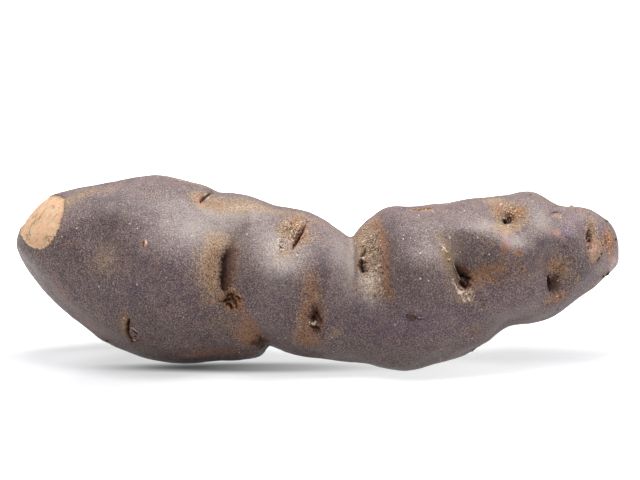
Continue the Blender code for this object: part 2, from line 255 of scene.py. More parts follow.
def smooth_line(places, per_piece=10):
    """Points on the smooth body along a curve through some places, and how far along the places each one is."""
    q = np.array(places)
    q = np.concatenate([[2 * q[0] - q[1]], q, [2 * q[-1] - q[-2]]])
    t = np.linspace(0, len(places) - 1, per_piece * (len(places) - 1) + 1)
    i = np.minimum(t.astype(int), len(places) - 2)
    f = (t - i)[:, None]
    a, b, c, d = q[i], q[i + 1], q[i + 2], q[i + 3]
    line = 0.5 * (2 * b + (c - a) * f + (2 * a - 5 * b + 4 * c - d) * f**2 + (3 * b - a - 3 * c + d) * f**3)
    return onto_body(line), t


def beside(p, n, places, reach):
    """For the points within reach of a curve over the skin: which they are, how far across it they lie (positive on its right as it runs upwards), how far along its places, and how far off its ends."""
    line, t = smooth_line(places)
    low, high = line.min(axis=0) - reach, line.max(axis=0) + reach
    near = np.nonzero(((p > low) & (p < high)).all(axis=1))[0]
    if len(near) == 0:
        return near, np.zeros(0), np.zeros(0), np.zeros(0)
    gap = np.linalg.norm(p[near, None, :] - line[None], axis=2)
    k = gap.argmin(axis=1)
    close = gap[np.arange(len(near)), k] < reach
    near, k = near[close], k[close]
    face = outward(line)
    run = np.gradient(line, axis=0)
    run /= np.linalg.norm(run, axis=1)[:, None]
    across = np.cross(run, face)
    across /= np.linalg.norm(across, axis=1)[:, None]
    d = p[near] - line[k]
    same_side = np.einsum("ij,ij->i", n[near], face[k]) > -0.1
    off = np.einsum("ij,ij->i", d, across[k])
    past = np.einsum("ij,ij->i", d, run[k])
    return near[same_side], off[same_side], t[k][same_side], past[same_side]


def groove(p, n, places, left, right, depths, power=1.35):
    """A groove along a curve. Its wall is left mm wide on one side and right mm wide on the other, as the curve runs upwards."""
    height = np.zeros(len(p))
    near, off, t, past = beside(p, n, places, 3.2 * max(left, right))
    deep = np.interp(t, np.arange(len(depths)), depths)
    span = np.where(off < 0, left, right)
    height[near] = -deep * np.exp(-((np.hypot(off, past * 0.6) / span) ** power))
    return height


# ---- the lobes and hollows ----
# u, v on the sheet, how far it reaches along and round the tuber, turn, height
FRONT_FORMS = (
    ("belly of the stem lobe", -36.0, 14.0, 15.0, 8.0, 0, 0.6),
    ("swell of the stem lobe before the first crease", -27.5, 16.0, 9.0, 8.0, 14, 2.1),
    ("saddle on the shoulder", -20.5, 28.8, 9.5, 6.5, -20, -1.9),
    ("flat on the left of the stem lobe", -43.0, 24.6, 7.5, 4.6, 12, -1.1),
    ("hollow by the first crease", -17.0, 20.5, 3.0, 7.0, 12, -0.8),
    ("left half of the second lobe", -10.6, 17.0, 5.0, 7.5, 0, 2.4),
    ("lit corner of the second lobe", -6.4, 16.6, 4.2, 3.4, 0, 1.9),
    ("right half of the second lobe", 4.2, 20.5, 3.6, 9.5, 0, 1.8),
    ("belly of the second lobe", -3.0, 8.0, 8.0, 4.6, 0, 0.5),
    ("waist", 11.8, 21.0, 3.8, 8.5, 6, -2.3),
    ("third lobe", 21.5, 20.6, 6.8, 8.0, 0, 2.3),
    ("lit corner of the third lobe", 21.6, 18.2, 4.8, 4.0, 0, 1.3),
    ("hollow of the deep eye", 31.0, 18.6, 5.2, 4.6, 25, -2.8),
    ("shoulder above the deep eye", 30.5, 25.4, 6.5, 2.8, -14, 1.6),
    ("fourth lobe", 40.0, 15.0, 6.0, 5.5, 0, 0.9),
    ("dimple of the high eye", 38.0, 28.6, 3.2, 3.0, 0, -1.5),
    ("ridge under the high eye", 39.4, 21.8, 4.0, 2.9, 0, 1.4),
    ("saddle beside the high eye", 44.8, 25.2, 3.0, 3.4, 0, 1.2),
    ("hollow of the lower eye near the rose end", 47.6, 18.4, 3.4, 3.6, 0, -2.0),
    ("hollow of the eye at the rose end", 54.6, 25.0, 2.1, 4.2, 6, -1.2),
    ("swelling between the last two eyes", 51.0, 24.4, 2.2, 3.2, 0, 0.7),
)
# x, turn round the tuber, reach along and round, turn, height
OTHER_FORMS = (
    ("back of the stem lobe", -36.0, 190, 13.0, 12.0, 0, 0.8),
    ("back waist after the stem lobe", -17.0, 176, 3.6, 13.0, -8, -1.9),
    ("back of the second lobe", -7.0, 182, 6.0, 10.0, 0, 1.0),
    ("back waist", 8.0, 170, 3.6, 12.0, 10, -1.8),
    ("back of the third lobe", 18.5, 186, 6.5, 10.0, 0, 0.9),
    ("back hollow", 28.5, 172, 3.8, 6.5, 12, -1.6),
    ("back of the fourth lobe", 38.5, 184, 6.0, 8.0, 0, 0.8),
    ("hollow of the back eye of the stem lobe", -41.0, 158, 4.0, 5.0, 0, -0.9),
    ("hollow of the low back eye", -25.0, 216, 3.6, 4.6, 10, -0.9),
    ("hollow of the back eye at the rose end", 48.5, 170, 3.0, 4.4, 0, -1.2),
    ("top knob of the third lobe", 14.0, 92, 3.4, 5.0, 0, 0.25),
    ("hollow under the second lobe", 2.0, -88, 6.0, 5.0, 0, -0.7),
)


def flat_places(*uv):
    return [seen(u, v) for u, v in uv]


# Creases where one lobe closes over the next: places along them from the top or the front, the width of the wall on the
# stem side and on the rose side, and the depth at each place
CREASES = (
    (
        "deep crease after the stem lobe",
        flat_places((-13.8, 30.4), (-15.4, 27.6), (-17.6, 23.6), (-19.4, 19.8), (-19.8, 16.4), (-19.2, 13.6)),
        0.7,
        2.4,
        (0.0, 0.4, 1.2, 2.1, 2.0, 0.2),
    ),
    (
        "crease under the stem lobe",
        flat_places((-14.6, 9.0), (-12.4, 5.6), (-10.4, 3.6))
        + [around(-9.8, -72), around(-9.8, -92), around(-10.8, -120), around(-12.6, -150)],
        2.4,
        0.9,
        (0.0, 0.8, 1.7, 1.8, 1.5, 1.0, 0.0),
    ),
    (
        "fold over the waist",
        [around(7.6, 150), around(7.0, 122), around(6.8, 98)]
        + flat_places((6.8, 25.2), (7.0, 21.0), (7.2, 16.0), (7.4, 12.4)),
        0.7,
        3.0,
        (0.0, 0.7, 0.8, 0.9, 0.8, 0.5, 0.0),
    ),
    (
        "groove of the top eye of the stem lobe",
        flat_places((-20.6, 34.8), (-22.6, 33.2), (-24.6, 31.6)),
        1.5,
        1.8,
        (0.9, 0.8, 0.0),
    ),
    (
        "groove of the top eye of the second lobe",
        flat_places((-0.6, 31.0), (-2.4, 28.4), (-4.2, 25.4), (-5.4, 22.6)),
        2.2,
        1.8,
        (0.3, 1.2, 1.2, 0.0),
    ),
    (
        "groove between the halves of the second lobe",
        flat_places((-2.6, 20.6), (-1.4, 16.4), (-0.4, 11.0), (-0.2, 6.0)),
        2.2,
        2.2,
        (0.0, 0.9, 1.3, 0.2),
    ),
)

# The corky scar where the tuber broke off its stem: a nearly flat face across the stem end
SCAR_FACING = np.array([-0.732, -0.389, 0.559]) / math.sqrt(0.732**2 + 0.389**2 + 0.559**2)
SCAR_MIDDLE = np.array([-55.3, -2.0, 27.8])
SCAR_SWELL = 1.4
SCAR_CROWN = np.array([-57.25, -2.6, 27.6])
SCAR_ROUND = 20.0  # the scar bulges a little, like a piece of a ball of this radius
SCAR_EDGE = 0.25


def forms(p, n):
    """How far the lobes, waists and creases stand out of the smooth body, or sink into it, at each point."""
    height = np.zeros(len(p))
    for _, u, v, long, wide, turn, h in FRONT_FORMS:
        height += swell(p, n, seen(u, v), long, wide, turn, h)
    for _, x, where, long, wide, turn, h in OTHER_FORMS:
        height += swell(p, n, around(x, where), long, wide, turn, h)
    for _, places, stem_side, rose_side, depths in CREASES:
        height += groove(p, n, places, stem_side, rose_side, depths)
    # the stem end swells a little before the scar cuts it
    height += swell(p, n, onto_body(SCAR_MIDDLE[None])[0], 6.5, 6.5, 0, SCAR_SWELL)
    # slow unevenness of a grown thing, in three crossing waves
    for way, wave, phase, h in (
        ((0.9, 0.3, 0.5), 13.0, 0.4, 0.16),
        ((0.4, -0.8, 0.7), 9.5, 2.1, 0.13),
        ((0.6, 0.7, -0.6), 7.0, 4.0, 0.09),
    ):
        height += h * np.sin(2 * math.pi * (p @ np.array(way)) / wave + phase)
    return height


def over_scar(out):
    """How far places lie outside the scar."""
    return np.linalg.norm(out - (SCAR_CROWN - SCAR_ROUND * SCAR_FACING), axis=1) - SCAR_ROUND


def settle(out):
    """The scar cuts the stem end, and where the tuber lies, its own weight presses it flat."""
    above = over_scar(out)
    fade = np.clip((13.0 - np.linalg.norm(out - SCAR_MIDDLE, axis=1)) / 4.5, 0, 1)
    fade = fade * fade * (3 - 2 * fade)
    cut = SCAR_EDGE * np.logaddexp(0, above / SCAR_EDGE)
    out = out - (fade * cut)[:, None] * SCAR_FACING
    out[:, 2] = np.maximum(out[:, 2], 0.0)
    return out


def sphere_of_block(co):
    """Corners of a divided block from -1 to 1, moved onto the unit sphere, so that after body() its cells come out even: the long sides wrap the tuber and the two ends cap it."""
    turned = np.linspace(0, math.pi, 4001)
    x = X_MIDDLE - X_HALF * np.cos(turned)
    girth = 0.5 * (at(x, TALL) + at(x, DEEP)) * np.sin(turned)
    run = np.concatenate([[0], np.cumsum(np.hypot(np.diff(x), np.diff(girth)))])
    run /= run[-1]
    y, z = co[:, 1], co[:, 2]
    disc = np.stack([y * np.sqrt(1 - z * z / 2), z * np.sqrt(1 - y * y / 2)], axis=1)
    out = np.linalg.norm(disc, axis=1)
    where = np.where(
        np.abs(co[:, 0]) > 1 - 1e-6,
        CAP_REACH * out,
        CAP_REACH + (1 - 2 * CAP_REACH) * (co[:, 0] + 1) / 2,
    )
    where = np.where(co[:, 0] > 1 - 1e-6, 1 - where, where)
    angle = np.interp(where, run, turned)
    disc /= np.maximum(out, 1e-12)[:, None]
    return np.stack([-np.cos(angle), np.sin(angle) * disc[:, 0], np.sin(angle) * disc[:, 1]], axis=1)


def divided_block(bm, around_cells, rings):
    """A closed block with square-ended sides, cut into cells."""
    bmesh.ops.create_cube(bm, size=2.0)
    long = [e for e in bm.edges if abs(e.verts[0].co.x - e.verts[1].co.x) > 1]
    bmesh.ops.subdivide_edges(bm, edges=long, cuts=rings - 1, use_grid_fill=True)
    for axis in (1, 2):
        cross = [e for e in bm.edges if abs(e.verts[0].co[axis] - e.verts[1].co[axis]) > 1]
        bmesh.ops.subdivide_edges(bm, edges=cross, cuts=around_cells - 1, use_grid_fill=True)


def positions(bm):
    return np.array([v.co for v in bm.verts])


def place_all(bm, points):
    for v, q in zip(bm.verts, points):
        v.co = q


# ======== fine skin: eyes, scar, wrinkles, crumbs ========


def front_places():
    """Places all over the smooth body, and the pixels of the photograph, 640 x 480, where the lobes and creases built on them show."""
    along, turn = np.meshgrid(np.linspace(0.004, math.pi - 0.004, 700), np.linspace(0, 2 * math.pi, 420, endpoint=False))
    along, turn = along.ravel(), turn.ravel()
    smooth = body(np.stack([-np.cos(along), np.sin(along) * np.cos(turn), np.sin(along) * np.sin(turn)], axis=1))
    n = outward(smooth)
    out = settle(smooth + n * forms(smooth, n)[:, None])
    way = out - EYE_POINT
    far = way @ SIGHT
    on_sheet = way * (SIGHT_DISTANCE / far)[:, None] + EYE_POINT - SIGHT_CENTRE
    x = 318 + (on_sheet[:, 0] + SIGHT_CENTRE[0]) / 0.2
    y = 363 - (V_OF_CENTRE + on_sheet @ UP_ON_SHEET) / 0.2
    front = n @ SIGHT < 0.35
    return smooth[front], x[front], y[front], far[front]


SMOOTH, SHOWN_X, SHOWN_Y, FAR = front_places()


def px(x, y):
    """The place on the smooth body whose finished skin shows at a pixel of the photograph."""
    off = (SHOWN_X - x) ** 2 + (SHOWN_Y - y) ** 2
    near = np.where(off < max(4.0, 1.05 * off.min()))[0]
    near = near[FAR[near] < FAR[near].min() + 1.5]
    weight = 1 / (off[near] + 0.1) ** 2
    return onto_body((weight @ SMOOTH[near] / weight.sum())[None])[0]


def on_scar(x, y):
    """The place on the scar at a pixel of the photograph."""
    on_sheet = SIGHT_CENTRE + np.array([(x - 318) * 0.2 - SIGHT_CENTRE[0], 0.0, 0.0]) + ((363 - y) * 0.2 - V_OF_CENTRE) * UP_ON_SHEET
    way = on_sheet - EYE_POINT
    way /= np.linalg.norm(way)
    centre = SCAR_CROWN - SCAR_ROUND * SCAR_FACING
    middle = (centre - EYE_POINT) @ way
    miss = np.linalg.norm(EYE_POINT + middle * way - centre)
    return EYE_POINT + (middle - math.sqrt(max(0.0, SCAR_ROUND**2 - miss**2))) * way


CORNERS = np.array(
    [
        (1, 1, 0), (-1, 1, 0), (1, -1, 0), (-1, -1, 0), (1, 0, 1), (-1, 0, 1),
        (1, 0, -1), (-1, 0, -1), (0, 1, 1), (0, -1, 1), (0, 1, -1), (0, -1, -1),
    ],
    float,
)


def lumps(p, size, seed):
    """Smooth noise from about -1 to 1, with lumps about size mm across."""
    q = p / size + seed * 17.31
    cell = np.floor(q).astype(np.int64)
    f = q - cell
    w = f * f * f * (f * (f * 6 - 15) + 10)
    total = np.zeros(len(p))
    for corner in np.ndindex(2, 2, 2):
        c = (cell + corner).astype(np.uint64)
        h = c[:, 0] * np.uint64(0x9E3779B185EBCA87) ^ c[:, 1] * np.uint64(0xC2B2AE3D27D4EB4F) ^ c[:, 2] * np.uint64(0x165667B19E3779F9)
        h ^= np.uint64(seed * 7919 + 13)
        h ^= h >> np.uint64(29)
        h *= np.uint64(0xBF58476D1CE4E5B9)
        h ^= h >> np.uint64(32)
        slope = CORNERS[(h % np.uint64(12)).astype(int)]
        weight = np.prod([w[:, k] if corner[k] else 1 - w[:, k] for k in range(3)], axis=0)
        total += weight * np.einsum("ij,ij->i", slope, f - corner)
    return total * 1.1


def smoothstep(low, high, x):
    t = np.clip((x - low) / (high - low), 0, 1)
    return t * t * (3 - 2 * t)


PAINTS = ("tan", "rust", "ochre", "umber_and_hollow_shade", "pit_shade_and_dark_marks", "scar", "pale", "pink", "violet", "olive", "bloom_and_highlight", "shade", "scurf", "scarmark")


class Skin:
    """Points of the smooth body, how far the fine skin stands off it there, and how strongly each colour shows."""

    def __init__(self, p):
        self.p = p
        self.n = outward(p)
        self.height = forms(p, self.n)
        self.paint = {name: np.zeros(len(p)) for name in PAINTS}
        # one set of noises, shared by every ragged edge
        self.ragged = np.stack([lumps(p, 1.3, s) + 0.5 * lumps(p, 0.55, s + 5) for s in (1, 2, 3)], axis=1)
        self.frayed = lumps(p, 0.42, 7) + 0.7 * lumps(p, 0.21, 8)
        self.order = np.argsort(p[:, 0], kind="stable")
        self.along = p[self.order, 0]

    def slab(self, low, high):
        """The points between two places along the tuber."""
        a, b = np.searchsorted(self.along, (low, high))
        return np.sort(self.order[a:b])

    def local(self, place, turn, reach):
        m, a, b = tangents(place, turn)
        some = self.slab(place[0] - reach, place[0] + reach)
        d = self.p[some] - place
        close = (np.einsum("ij,ij->i", d, d) < reach * reach) & (self.n[some] @ m > -0.1)
        return some[close], d[close] @ a, d[close] @ b

    def beside(self, places, reach):
        low, high = min(q[0] for q in places) - reach - 0.5, max(q[0] for q in places) + reach + 0.5
        some = self.slab(low, high)
        near, off, t, past = beside(self.p[some], self.n[some], places, reach)
        # the right of a curve is the same side whether it is drawn upwards or downwards
        return some[near], off if places[-1][2] >= places[0][2] else -off, t, past

    def dab(self, place, long, wide, turn, height, power=2.0):
        """A small bump, or a pit with a negative height."""
        near, s, t = self.local(place, turn, 3.2 * max(long, wide))
        self.height[near] += height * np.exp(-(np.hypot(s / long, t / wide) ** power))

    def ring(self, place, radius, width, height, squash=1.0, turn=0.0):
        """A raised rim round a place."""
        near, s, t = self.local(place, turn, radius * max(1, squash) + 3 * width)
        self.height[near] += height * np.exp(-(((np.hypot(s, t / squash) - radius) / width) ** 2))

    def cut(self, places, width, depths, power=2.0, jitter=0.0, right=None, fray=0.0):
        """A slit or, with negative depths, a ridge along a curve."""
        right = right or width
        near, off, t, past = self.beside(places, 3.2 * max(width, right))
        if len(near) == 0:
            return
        off = off + jitter * self.ragged[near, 0] + fray * self.frayed[near]
        deep = np.interp(t, np.arange(len(depths)), depths)
        span = np.where(off < 0, width, right)
        self.height[near] -= deep * np.exp(-((np.hypot(off / span, past / max(width, 0.3)) ** power)))

    def stain(self, name, place, long, wide, turn, amount, ragged=0.35, soft=2.0):
        """A stain of one colour, with a ragged fading edge."""
        near, s, t = self.local(place, turn, 3.0 * max(long, wide))
        r = np.hypot(s / long, t / wide)
        r = r + ragged * self.ragged[near, 1]
        value = amount * np.exp(-(np.maximum(r, 0) ** soft))
        layer = self.paint[name]
        layer[near] = 1 - (1 - layer[near]) * (1 - np.clip(value, 0, 1))

    def trail(self, name, places, width, amounts, ragged=0.3, right=None, soft=2.0, fray=0.0):
        """A stain along a curve."""
        right = right or width
        near, off, t, past = self.beside(places, 3.0 * max(width, right))
        if len(near) == 0:
            return
        off = off + ragged * width * self.ragged[near, 2] + fray * self.frayed[near]
        amount = np.interp(t, np.arange(len(amounts)), amounts)
        span = np.where(off < 0, width, right)
        value = amount * np.exp(-(np.hypot(off / span, past / (0.7 * width)) ** soft))
        layer = self.paint[name]
        layer[near] = 1 - (1 - layer[near]) * (1 - np.clip(value, 0, 1))

    def slit(self, places, width, depths, right=None, rim=0.6, fray=0.10, inside_shade=1.0):
        """An open slit: the cut, painted shade in it, near black inside and dark brown down its walls, and the brown
        skin along its edges.
        """
        right = right or width
        self.cut(places, width, depths, right=right, fray=fray)
        strong = [min(1.0, 1.25 * d / max(depths)) for d in depths]
        self.trail("pit_shade_and_dark_marks", places, width * 0.75, [inside_shade * s for s in strong], 0.0, right=right * 0.75, soft=2.6, fray=fray)
        self.trail("umber_and_hollow_shade", places, width * 1.8, [0.85 * s for s in strong], 0.2, right=right * 2.0, fray=fray)
        self.trail("rust", places, width * 3.0, [rim * s for s in strong], 0.3, right=right * 3.0, fray=fray)

    def hole(self, place, long, wide, turn, depth, inside_shade=1.0):
        """A small pit, painted dark inside as shade."""
        self.dab(place, long, wide, turn, -depth, 2.4)
        self.stain("pit_shade_and_dark_marks", place, long * 0.95, wide * 0.95, turn, inside_shade, 0.25, 3.0)
        self.stain("umber_and_hollow_shade", place, long * 1.7, wide * 1.7, turn, 0.8 * inside_shade, 0.25)

    def bud(self, place, long, wide, turn, height, kinds):
        """A bud, with its colours laid over each other."""
        self.dab(place, long, wide, turn, height)
        for kind, amount in kinds:
            self.stain(kind, place, long * 0.95, wide * 0.95, turn, amount, 0.1, 2.6)

    def crumbs(self, place, long, wide, turn, count, seed, size, up, kinds):
        """A crowd of tiny bumps and pits, each with a dab of colour; the pits are painted dark as shade."""
        rng = np.random.default_rng(seed)
        m, a, b = tangents(place, turn)
        for _ in range(count):
            s, t = rng.normal(0, 0.55, 2)
            q = onto_body((place + s * long * a + t * wide * b)[None])[0]
            kind = kinds[rng.integers(len(kinds))]
            r = size * rng.uniform(0.7, 1.4)
            self.dab(q, r, r * rng.uniform(0.6, 1.0), rng.uniform(-90, 90), up * rng.uniform(0.4, 1.0) * (-1 if kind in ("pit_shade_and_dark_marks", "umber_and_hollow_shade") else 1))
            self.stain(kind, q, r, r * rng.uniform(0.6, 1.0), rng.uniform(-90, 90), rng.uniform(0.5, 1.0), 0.1)


def line(*xy):
    return [px(x, y) for x, y in xy]


# Where the skin needs finer cells: place, radius of cells half as large, radius of cells a quarter as large
FINE = []


def fine(place, half, quarter=0.0):
    FINE.append((place, half, quarter))


def carve_front(k):
    """The eyes, marks and crumbs that the photograph shows, from the stem end to the rose end."""
    # broken skin near the stem end: a raised pink crescent beside a brown one
    k.cut(line((145.2, 240.6), (146.3, 243.0), (145.0, 246.2)), 0.30, (-0.10, -0.22, -0.10))
    k.cut(line((143.6, 240.8), (143.2, 243.4), (143.0, 246.0)), 0.22, (0.10, 0.20, 0.15))
    k.cut(line((148.4, 240.6), (149.4, 242.2), (148.8, 243.6)), 0.16, (-0.06, -0.12, -0.05))
    k.trail("pink", line((145.2, 240.8), (146.3, 243.0), (145.0, 246.0)), 0.27, (0.9, 1.0, 0.8), 0.1)
    k.trail("pale", line((145.4, 241.4), (146.3, 243.0), (145.6, 244.6)), 0.2, (0.5, 0.9, 0.5), 0.1)
    k.trail("pit_shade_and_dark_marks", line((143.6, 240.8), (143.1, 243.2), (143.2, 246.4)), 0.17, (0.6, 0.5, 0.8), 0.15)
    k.trail("rust", line((142.8, 240.0), (142.2, 243.4), (142.6, 246.6)), 0.4, (0.5, 0.8, 0.6), 0.2)
    k.trail("pit_shade_and_dark_marks", line((147.6, 240.8), (148.0, 242.6)), 0.12, (0.6, 0.5), 0.1)

    # E1, the slit in the groove at the top of the stem lobe
    k.slit(line((199.2, 202.4), (202.4, 199.6), (205.6, 196.6), (209.0, 194.0), (212.6, 192.0)), 0.19, (0.5, 0.6, 0.6, 0.6, 0.45), right=0.21, rim=0.5, fray=0.05)
    k.cut(line((205.0, 201.2), (208.4, 198.4), (212.6, 196.2)), 0.18, (0.12, 0.2, 0.1))
    k.trail("olive", line((204.6, 201.4), (208.4, 198.4), (212.8, 196.0)), 0.3, (0.8, 0.9, 0.6), 0.15)
    k.trail("umber_and_hollow_shade", line((205.0, 201.2), (207.4, 199.4)), 0.16, (0.5, 0.4), 0.15)
    k.trail("pale", line((203.6, 201.6), (207.6, 198.0), (213.0, 194.8)), 0.2, (0.2, 0.5, 0.4), 0.1)
    k.cut(line((199.0, 200.0), (202.4, 196.4), (206.0, 193.4)), 0.5, (-0.06, -0.14, -0.05))
    k.trail("pale", line((204.4, 195.6), (207.2, 193.2)), 0.2, (0.6, 0.5), 0.1)
    k.stain("rust", px(201.4, 197.0), 0.9, 1.3, 45, 0.8)
    k.stain("pink", px(198.8, 201.4), 0.7, 0.9, 40, 0.6)
    k.stain("tan", px(203.0, 202.0), 2.6, 1.8, 40, 0.6)
    k.stain("rust", px(218.5, 205.0), 1.4, 0.8, -10, 0.55)

    # E2, the curved slit low on the stem lobe, with its brow and its dark bud
    k.slit(line((129.0, 319.6), (127.9, 323.6), (127.6, 329.0)), 0.24, (0.5, 1.0, 0.6), right=0.27, rim=0.6)
    low = line((127.6, 329.0), (128.4, 333.5), (131.2, 339.0), (135.4, 344.2))
    k.cut(low, 0.22, (0.5, 0.5, 0.4, 0.1), right=0.4)
    k.trail("umber_and_hollow_shade", low, 0.34, (1.0, 0.95, 0.85, 0.4), 0.2)
    k.trail("pit_shade_and_dark_marks", low, 0.16, (0.9, 0.6, 0.5, 0.2), 0.2)
    k.trail("rust", low, 0.6, (0.7, 0.8, 0.7, 0.5), 0.3)
    k.cut(line((125.8, 319.5), (124.6, 326.0), (125.2, 333.0), (128.2, 339.5)), 0.45, (-0.05, -0.22, -0.22, -0.05))
    k.dab(px(132.4, 334.0), 0.95, 1.2, 20, 0.34)
    k.cut(line((131.2, 327.6), (134.2, 329.0), (137.6, 331.8)), 0.16, (-0.14, -0.18, -0.1))
    k.trail("pale", line((131.2, 327.6), (134.2, 329.0), (137.6, 331.8)), 0.16, (0.5, 0.7, 0.5), 0.1)
    k.cut(line((132.4, 330.2), (135.0, 331.8), (137.4, 334.0)), 0.16, (0.3, 0.4, 0.2))
    k.trail("pit_shade_and_dark_marks", line((132.6, 330.6), (135.0, 332.0), (137.2, 333.8)), 0.2, (0.5, 0.95, 0.7), 0.15)
    k.ring(px(134.2, 339.2), 0.42, 0.16, 0.14)
    k.stain("rust", px(134.0, 338.8), 0.9, 0.9, 0, 0.8)
    k.stain("umber_and_hollow_shade", px(134.0, 338.8), 0.75, 0.8, 0, 0.8, 0.3)
    for x, y, s in ((131.8, 337.4, 0.30), (135.4, 335.8, 0.26), (137.0, 340.4, 0.30), (132.0, 341.4, 0.26)):
        k.hole(px(x, y), s, s * 0.8, 0, 0.3)
    k.dab(px(134.4, 339.2), 0.34, 0.34, 0, 0.34)
    k.stain("pale", px(134.4, 339.2), 0.30, 0.30, 0, 1.0, 0.1)
    k.stain("pink", px(134.4, 339.2), 0.34, 0.34, 0, 0.9, 0.1)
    k.stain("tan", px(123.4, 325.5), 1.2, 2.2, -6, 0.75)
    k.stain("rust", px(124.6, 316.0), 1.1, 1.3, 0, 0.75)
    k.stain("olive", px(122.0, 330.0), 1.2, 1.8, 0, 0.5)
    k.stain("tan", px(125.0, 310.0), 1.2, 1.4, 0, 0.35)
    k.crumbs(px(124.8, 315.5), 1.0, 1.2, 0, 12, 61, 0.13, 0.08, ("pale", "pit_shade_and_dark_marks", "tan"))

    # the deep crease between the stem lobe and the second lobe: painted shade, near black at its foot and brown up its
    # right wall
    crease = line((232.0, 242.0), (227.4, 249.0), (224.4, 257.5), (222.6, 266.0), (221.4, 274.0), (221.2, 282.0), (222.0, 289.0), (224.4, 294.0))
    k.cut(crease, 0.30, (0.1, 0.4, 0.8, 1.0, 1.1, 1.1, 0.8, 0.3), right=0.95, fray=0.04)
    k.cut(line((223.0, 249.0), (219.4, 259.0), (217.8, 271.0), (217.4, 281.5), (218.6, 289.5)), 0.46, (0.0, -0.20, -0.26, -0.22, 0.0), fray=0.05)
    k.trail("pit_shade_and_dark_marks", crease, 0.18, (0.0, 0.3, 0.7, 0.9, 1.0, 1.0, 0.8, 0.3), 0.3, right=0.5, soft=1.6, fray=0.14)
    k.trail("umber_and_hollow_shade", crease, 0.34, (0.2, 0.7, 1.0, 1.0, 1.0, 1.0, 0.9, 0.4), 0.6, right=2.8, soft=3.0, fray=0.6)
    k.crumbs(px(224.0, 256.0), 0.9, 1.8, -20, 30, 71, 0.15, 0.06, ("pit_shade_and_dark_marks", "umber_and_hollow_shade", "tan"))
    k.crumbs(px(224.0, 274.0), 0.8, 2.2, 0, 40, 72, 0.15, 0.07, ("pit_shade_and_dark_marks", "umber_and_hollow_shade", "tan"))
    k.crumbs(px(228.0, 268.0), 1.2, 3.0, 0, 60, 74, 0.15, 0.10, ("pit_shade_and_dark_marks", "umber_and_hollow_shade", "umber_and_hollow_shade", "rust"))
    k.crumbs(px(226.6, 268.0), 0.7, 3.0, 0, 60, 95, 0.15, 0.10, ("pit_shade_and_dark_marks", "umber_and_hollow_shade", "tan", "rust"))
    k.trail("rust", crease, 0.6, (0.3, 0.7, 0.9, 0.9, 0.9, 0.9, 0.8, 0.5), 0.6, right=2.8, soft=2.2, fray=0.3)
    # painted shade, dark olive-brown, down the right wall of the crease
    k.trail("olive", line((240.0, 232.0), (232.0, 244.0), (228.6, 256.0), (227.0, 268.0), (227.0, 284.0)), 1.2, (0.3, 0.6, 0.7, 0.6, 0.3), 0.5, right=2.0, fray=0.3)
    k.trail("rust", line((221.0, 244.0), (213.6, 254.0), (211.4, 266.0), (211.0, 278.0), (213.4, 290.0)), 1.5, (0.3, 0.5, 0.55, 0.5, 0.3), 0.4, right=0.8)
    k.trail("tan", line((222.0, 236.0), (213.0, 250.0), (209.0, 266.0), (210.0, 284.0), (211.0, 300.0)), 2.6, (0.6, 0.95, 1.0, 0.85, 0.5), 0.4)
    k.trail("scurf", line((221.0, 244.0), (214.0, 258.0), (211.0, 272.0), (212.0, 286.0)), 2.2, (0.4, 0.6, 0.7, 0.5), 0.4, right=1.6)
    k.trail("scurf", line((228.0, 246.0), (226.0, 262.0), (225.0, 278.0), (225.0, 288.0)), 0.8, (0.3, 0.5, 0.5, 0.4), 0.4, right=1.4)
    # painted shade beside the crease
    k.trail("shade", line((236.0, 252.0), (234.0, 268.0), (234.0, 284.0)), 2.0, (0.4, 0.5, 0.4), 0.3)
    k.crumbs(px(232.0, 262.0), 1.2, 3.6, -10, 60, 70, 0.14, 0.07, ("umber_and_hollow_shade", "pit_shade_and_dark_marks", "umber_and_hollow_shade", "rust", "tan"))
    k.dab(px(236.3, 242.8), 0.24, 0.2, 0, 0.12)
    k.stain("pink", px(236.3, 242.8), 0.22, 0.2, 0, 0.9, 0.1)

    # E3, the star-shaped pit at its foot: orange-brown ridges with holes between them, painted dark as shade
    c = px(231.6, 300.2)
    k.dab(c, 1.7, 1.6, 0, -0.65, 2.4)
    k.ring(c, 1.8, 0.4, 0.18)
    k.stain("rust", c, 2.4, 2.2, 0, 1.0, 0.3, 3)
    k.stain("ochre", c, 1.8, 1.7, 0, 0.45, 0.25, 3)
    k.stain("umber_and_hollow_shade", c, 1.7, 1.6, 0, 0.35, 0.35, 3)
    k.stain("scurf", c, 2.3, 2.1, 0, 0.5)
    k.crumbs(c, 1.9, 1.8, 0, 60, 91, 0.13, 0.12, ("umber_and_hollow_shade", "umber_and_hollow_shade", "pit_shade_and_dark_marks", "rust", "tan"))
    k.stain("rust", px(227.0, 292.6), 1.2, 0.8, 20, 0.8)
    for pts, width, deep in (
        (((226.8, 296.4), (229.2, 294.2), (232.6, 294.6)), 0.20, 0.75),
        (((231.6, 297.4), (233.2, 300.0)), 0.18, 0.5),
        (((222.8, 301.8), (226.2, 300.0), (229.8, 300.2)), 0.20, 0.7),
        (((226.4, 304.2), (229.6, 305.0), (231.6, 308.4)), 0.22, 0.75),
        (((234.6, 301.6), (236.4, 303.8)), 0.16, 0.5),
        (((236.4, 296.8), (239.6, 298.8)), 0.16, 0.45),
        (((236.2, 306.0), (237.8, 308.4)), 0.15, 0.4),
    ):
        curve = line(*pts)
        k.cut(curve, width, [0.75 * deep] * len(pts), fray=0.16)
        k.trail("pit_shade_and_dark_marks", curve, width * 0.6, [0.8] * len(pts), 0.0, soft=2.0, fray=0.18)
        k.trail("umber_and_hollow_shade", curve, width * 1.8, [0.75] * len(pts), 0.2, fray=0.1)
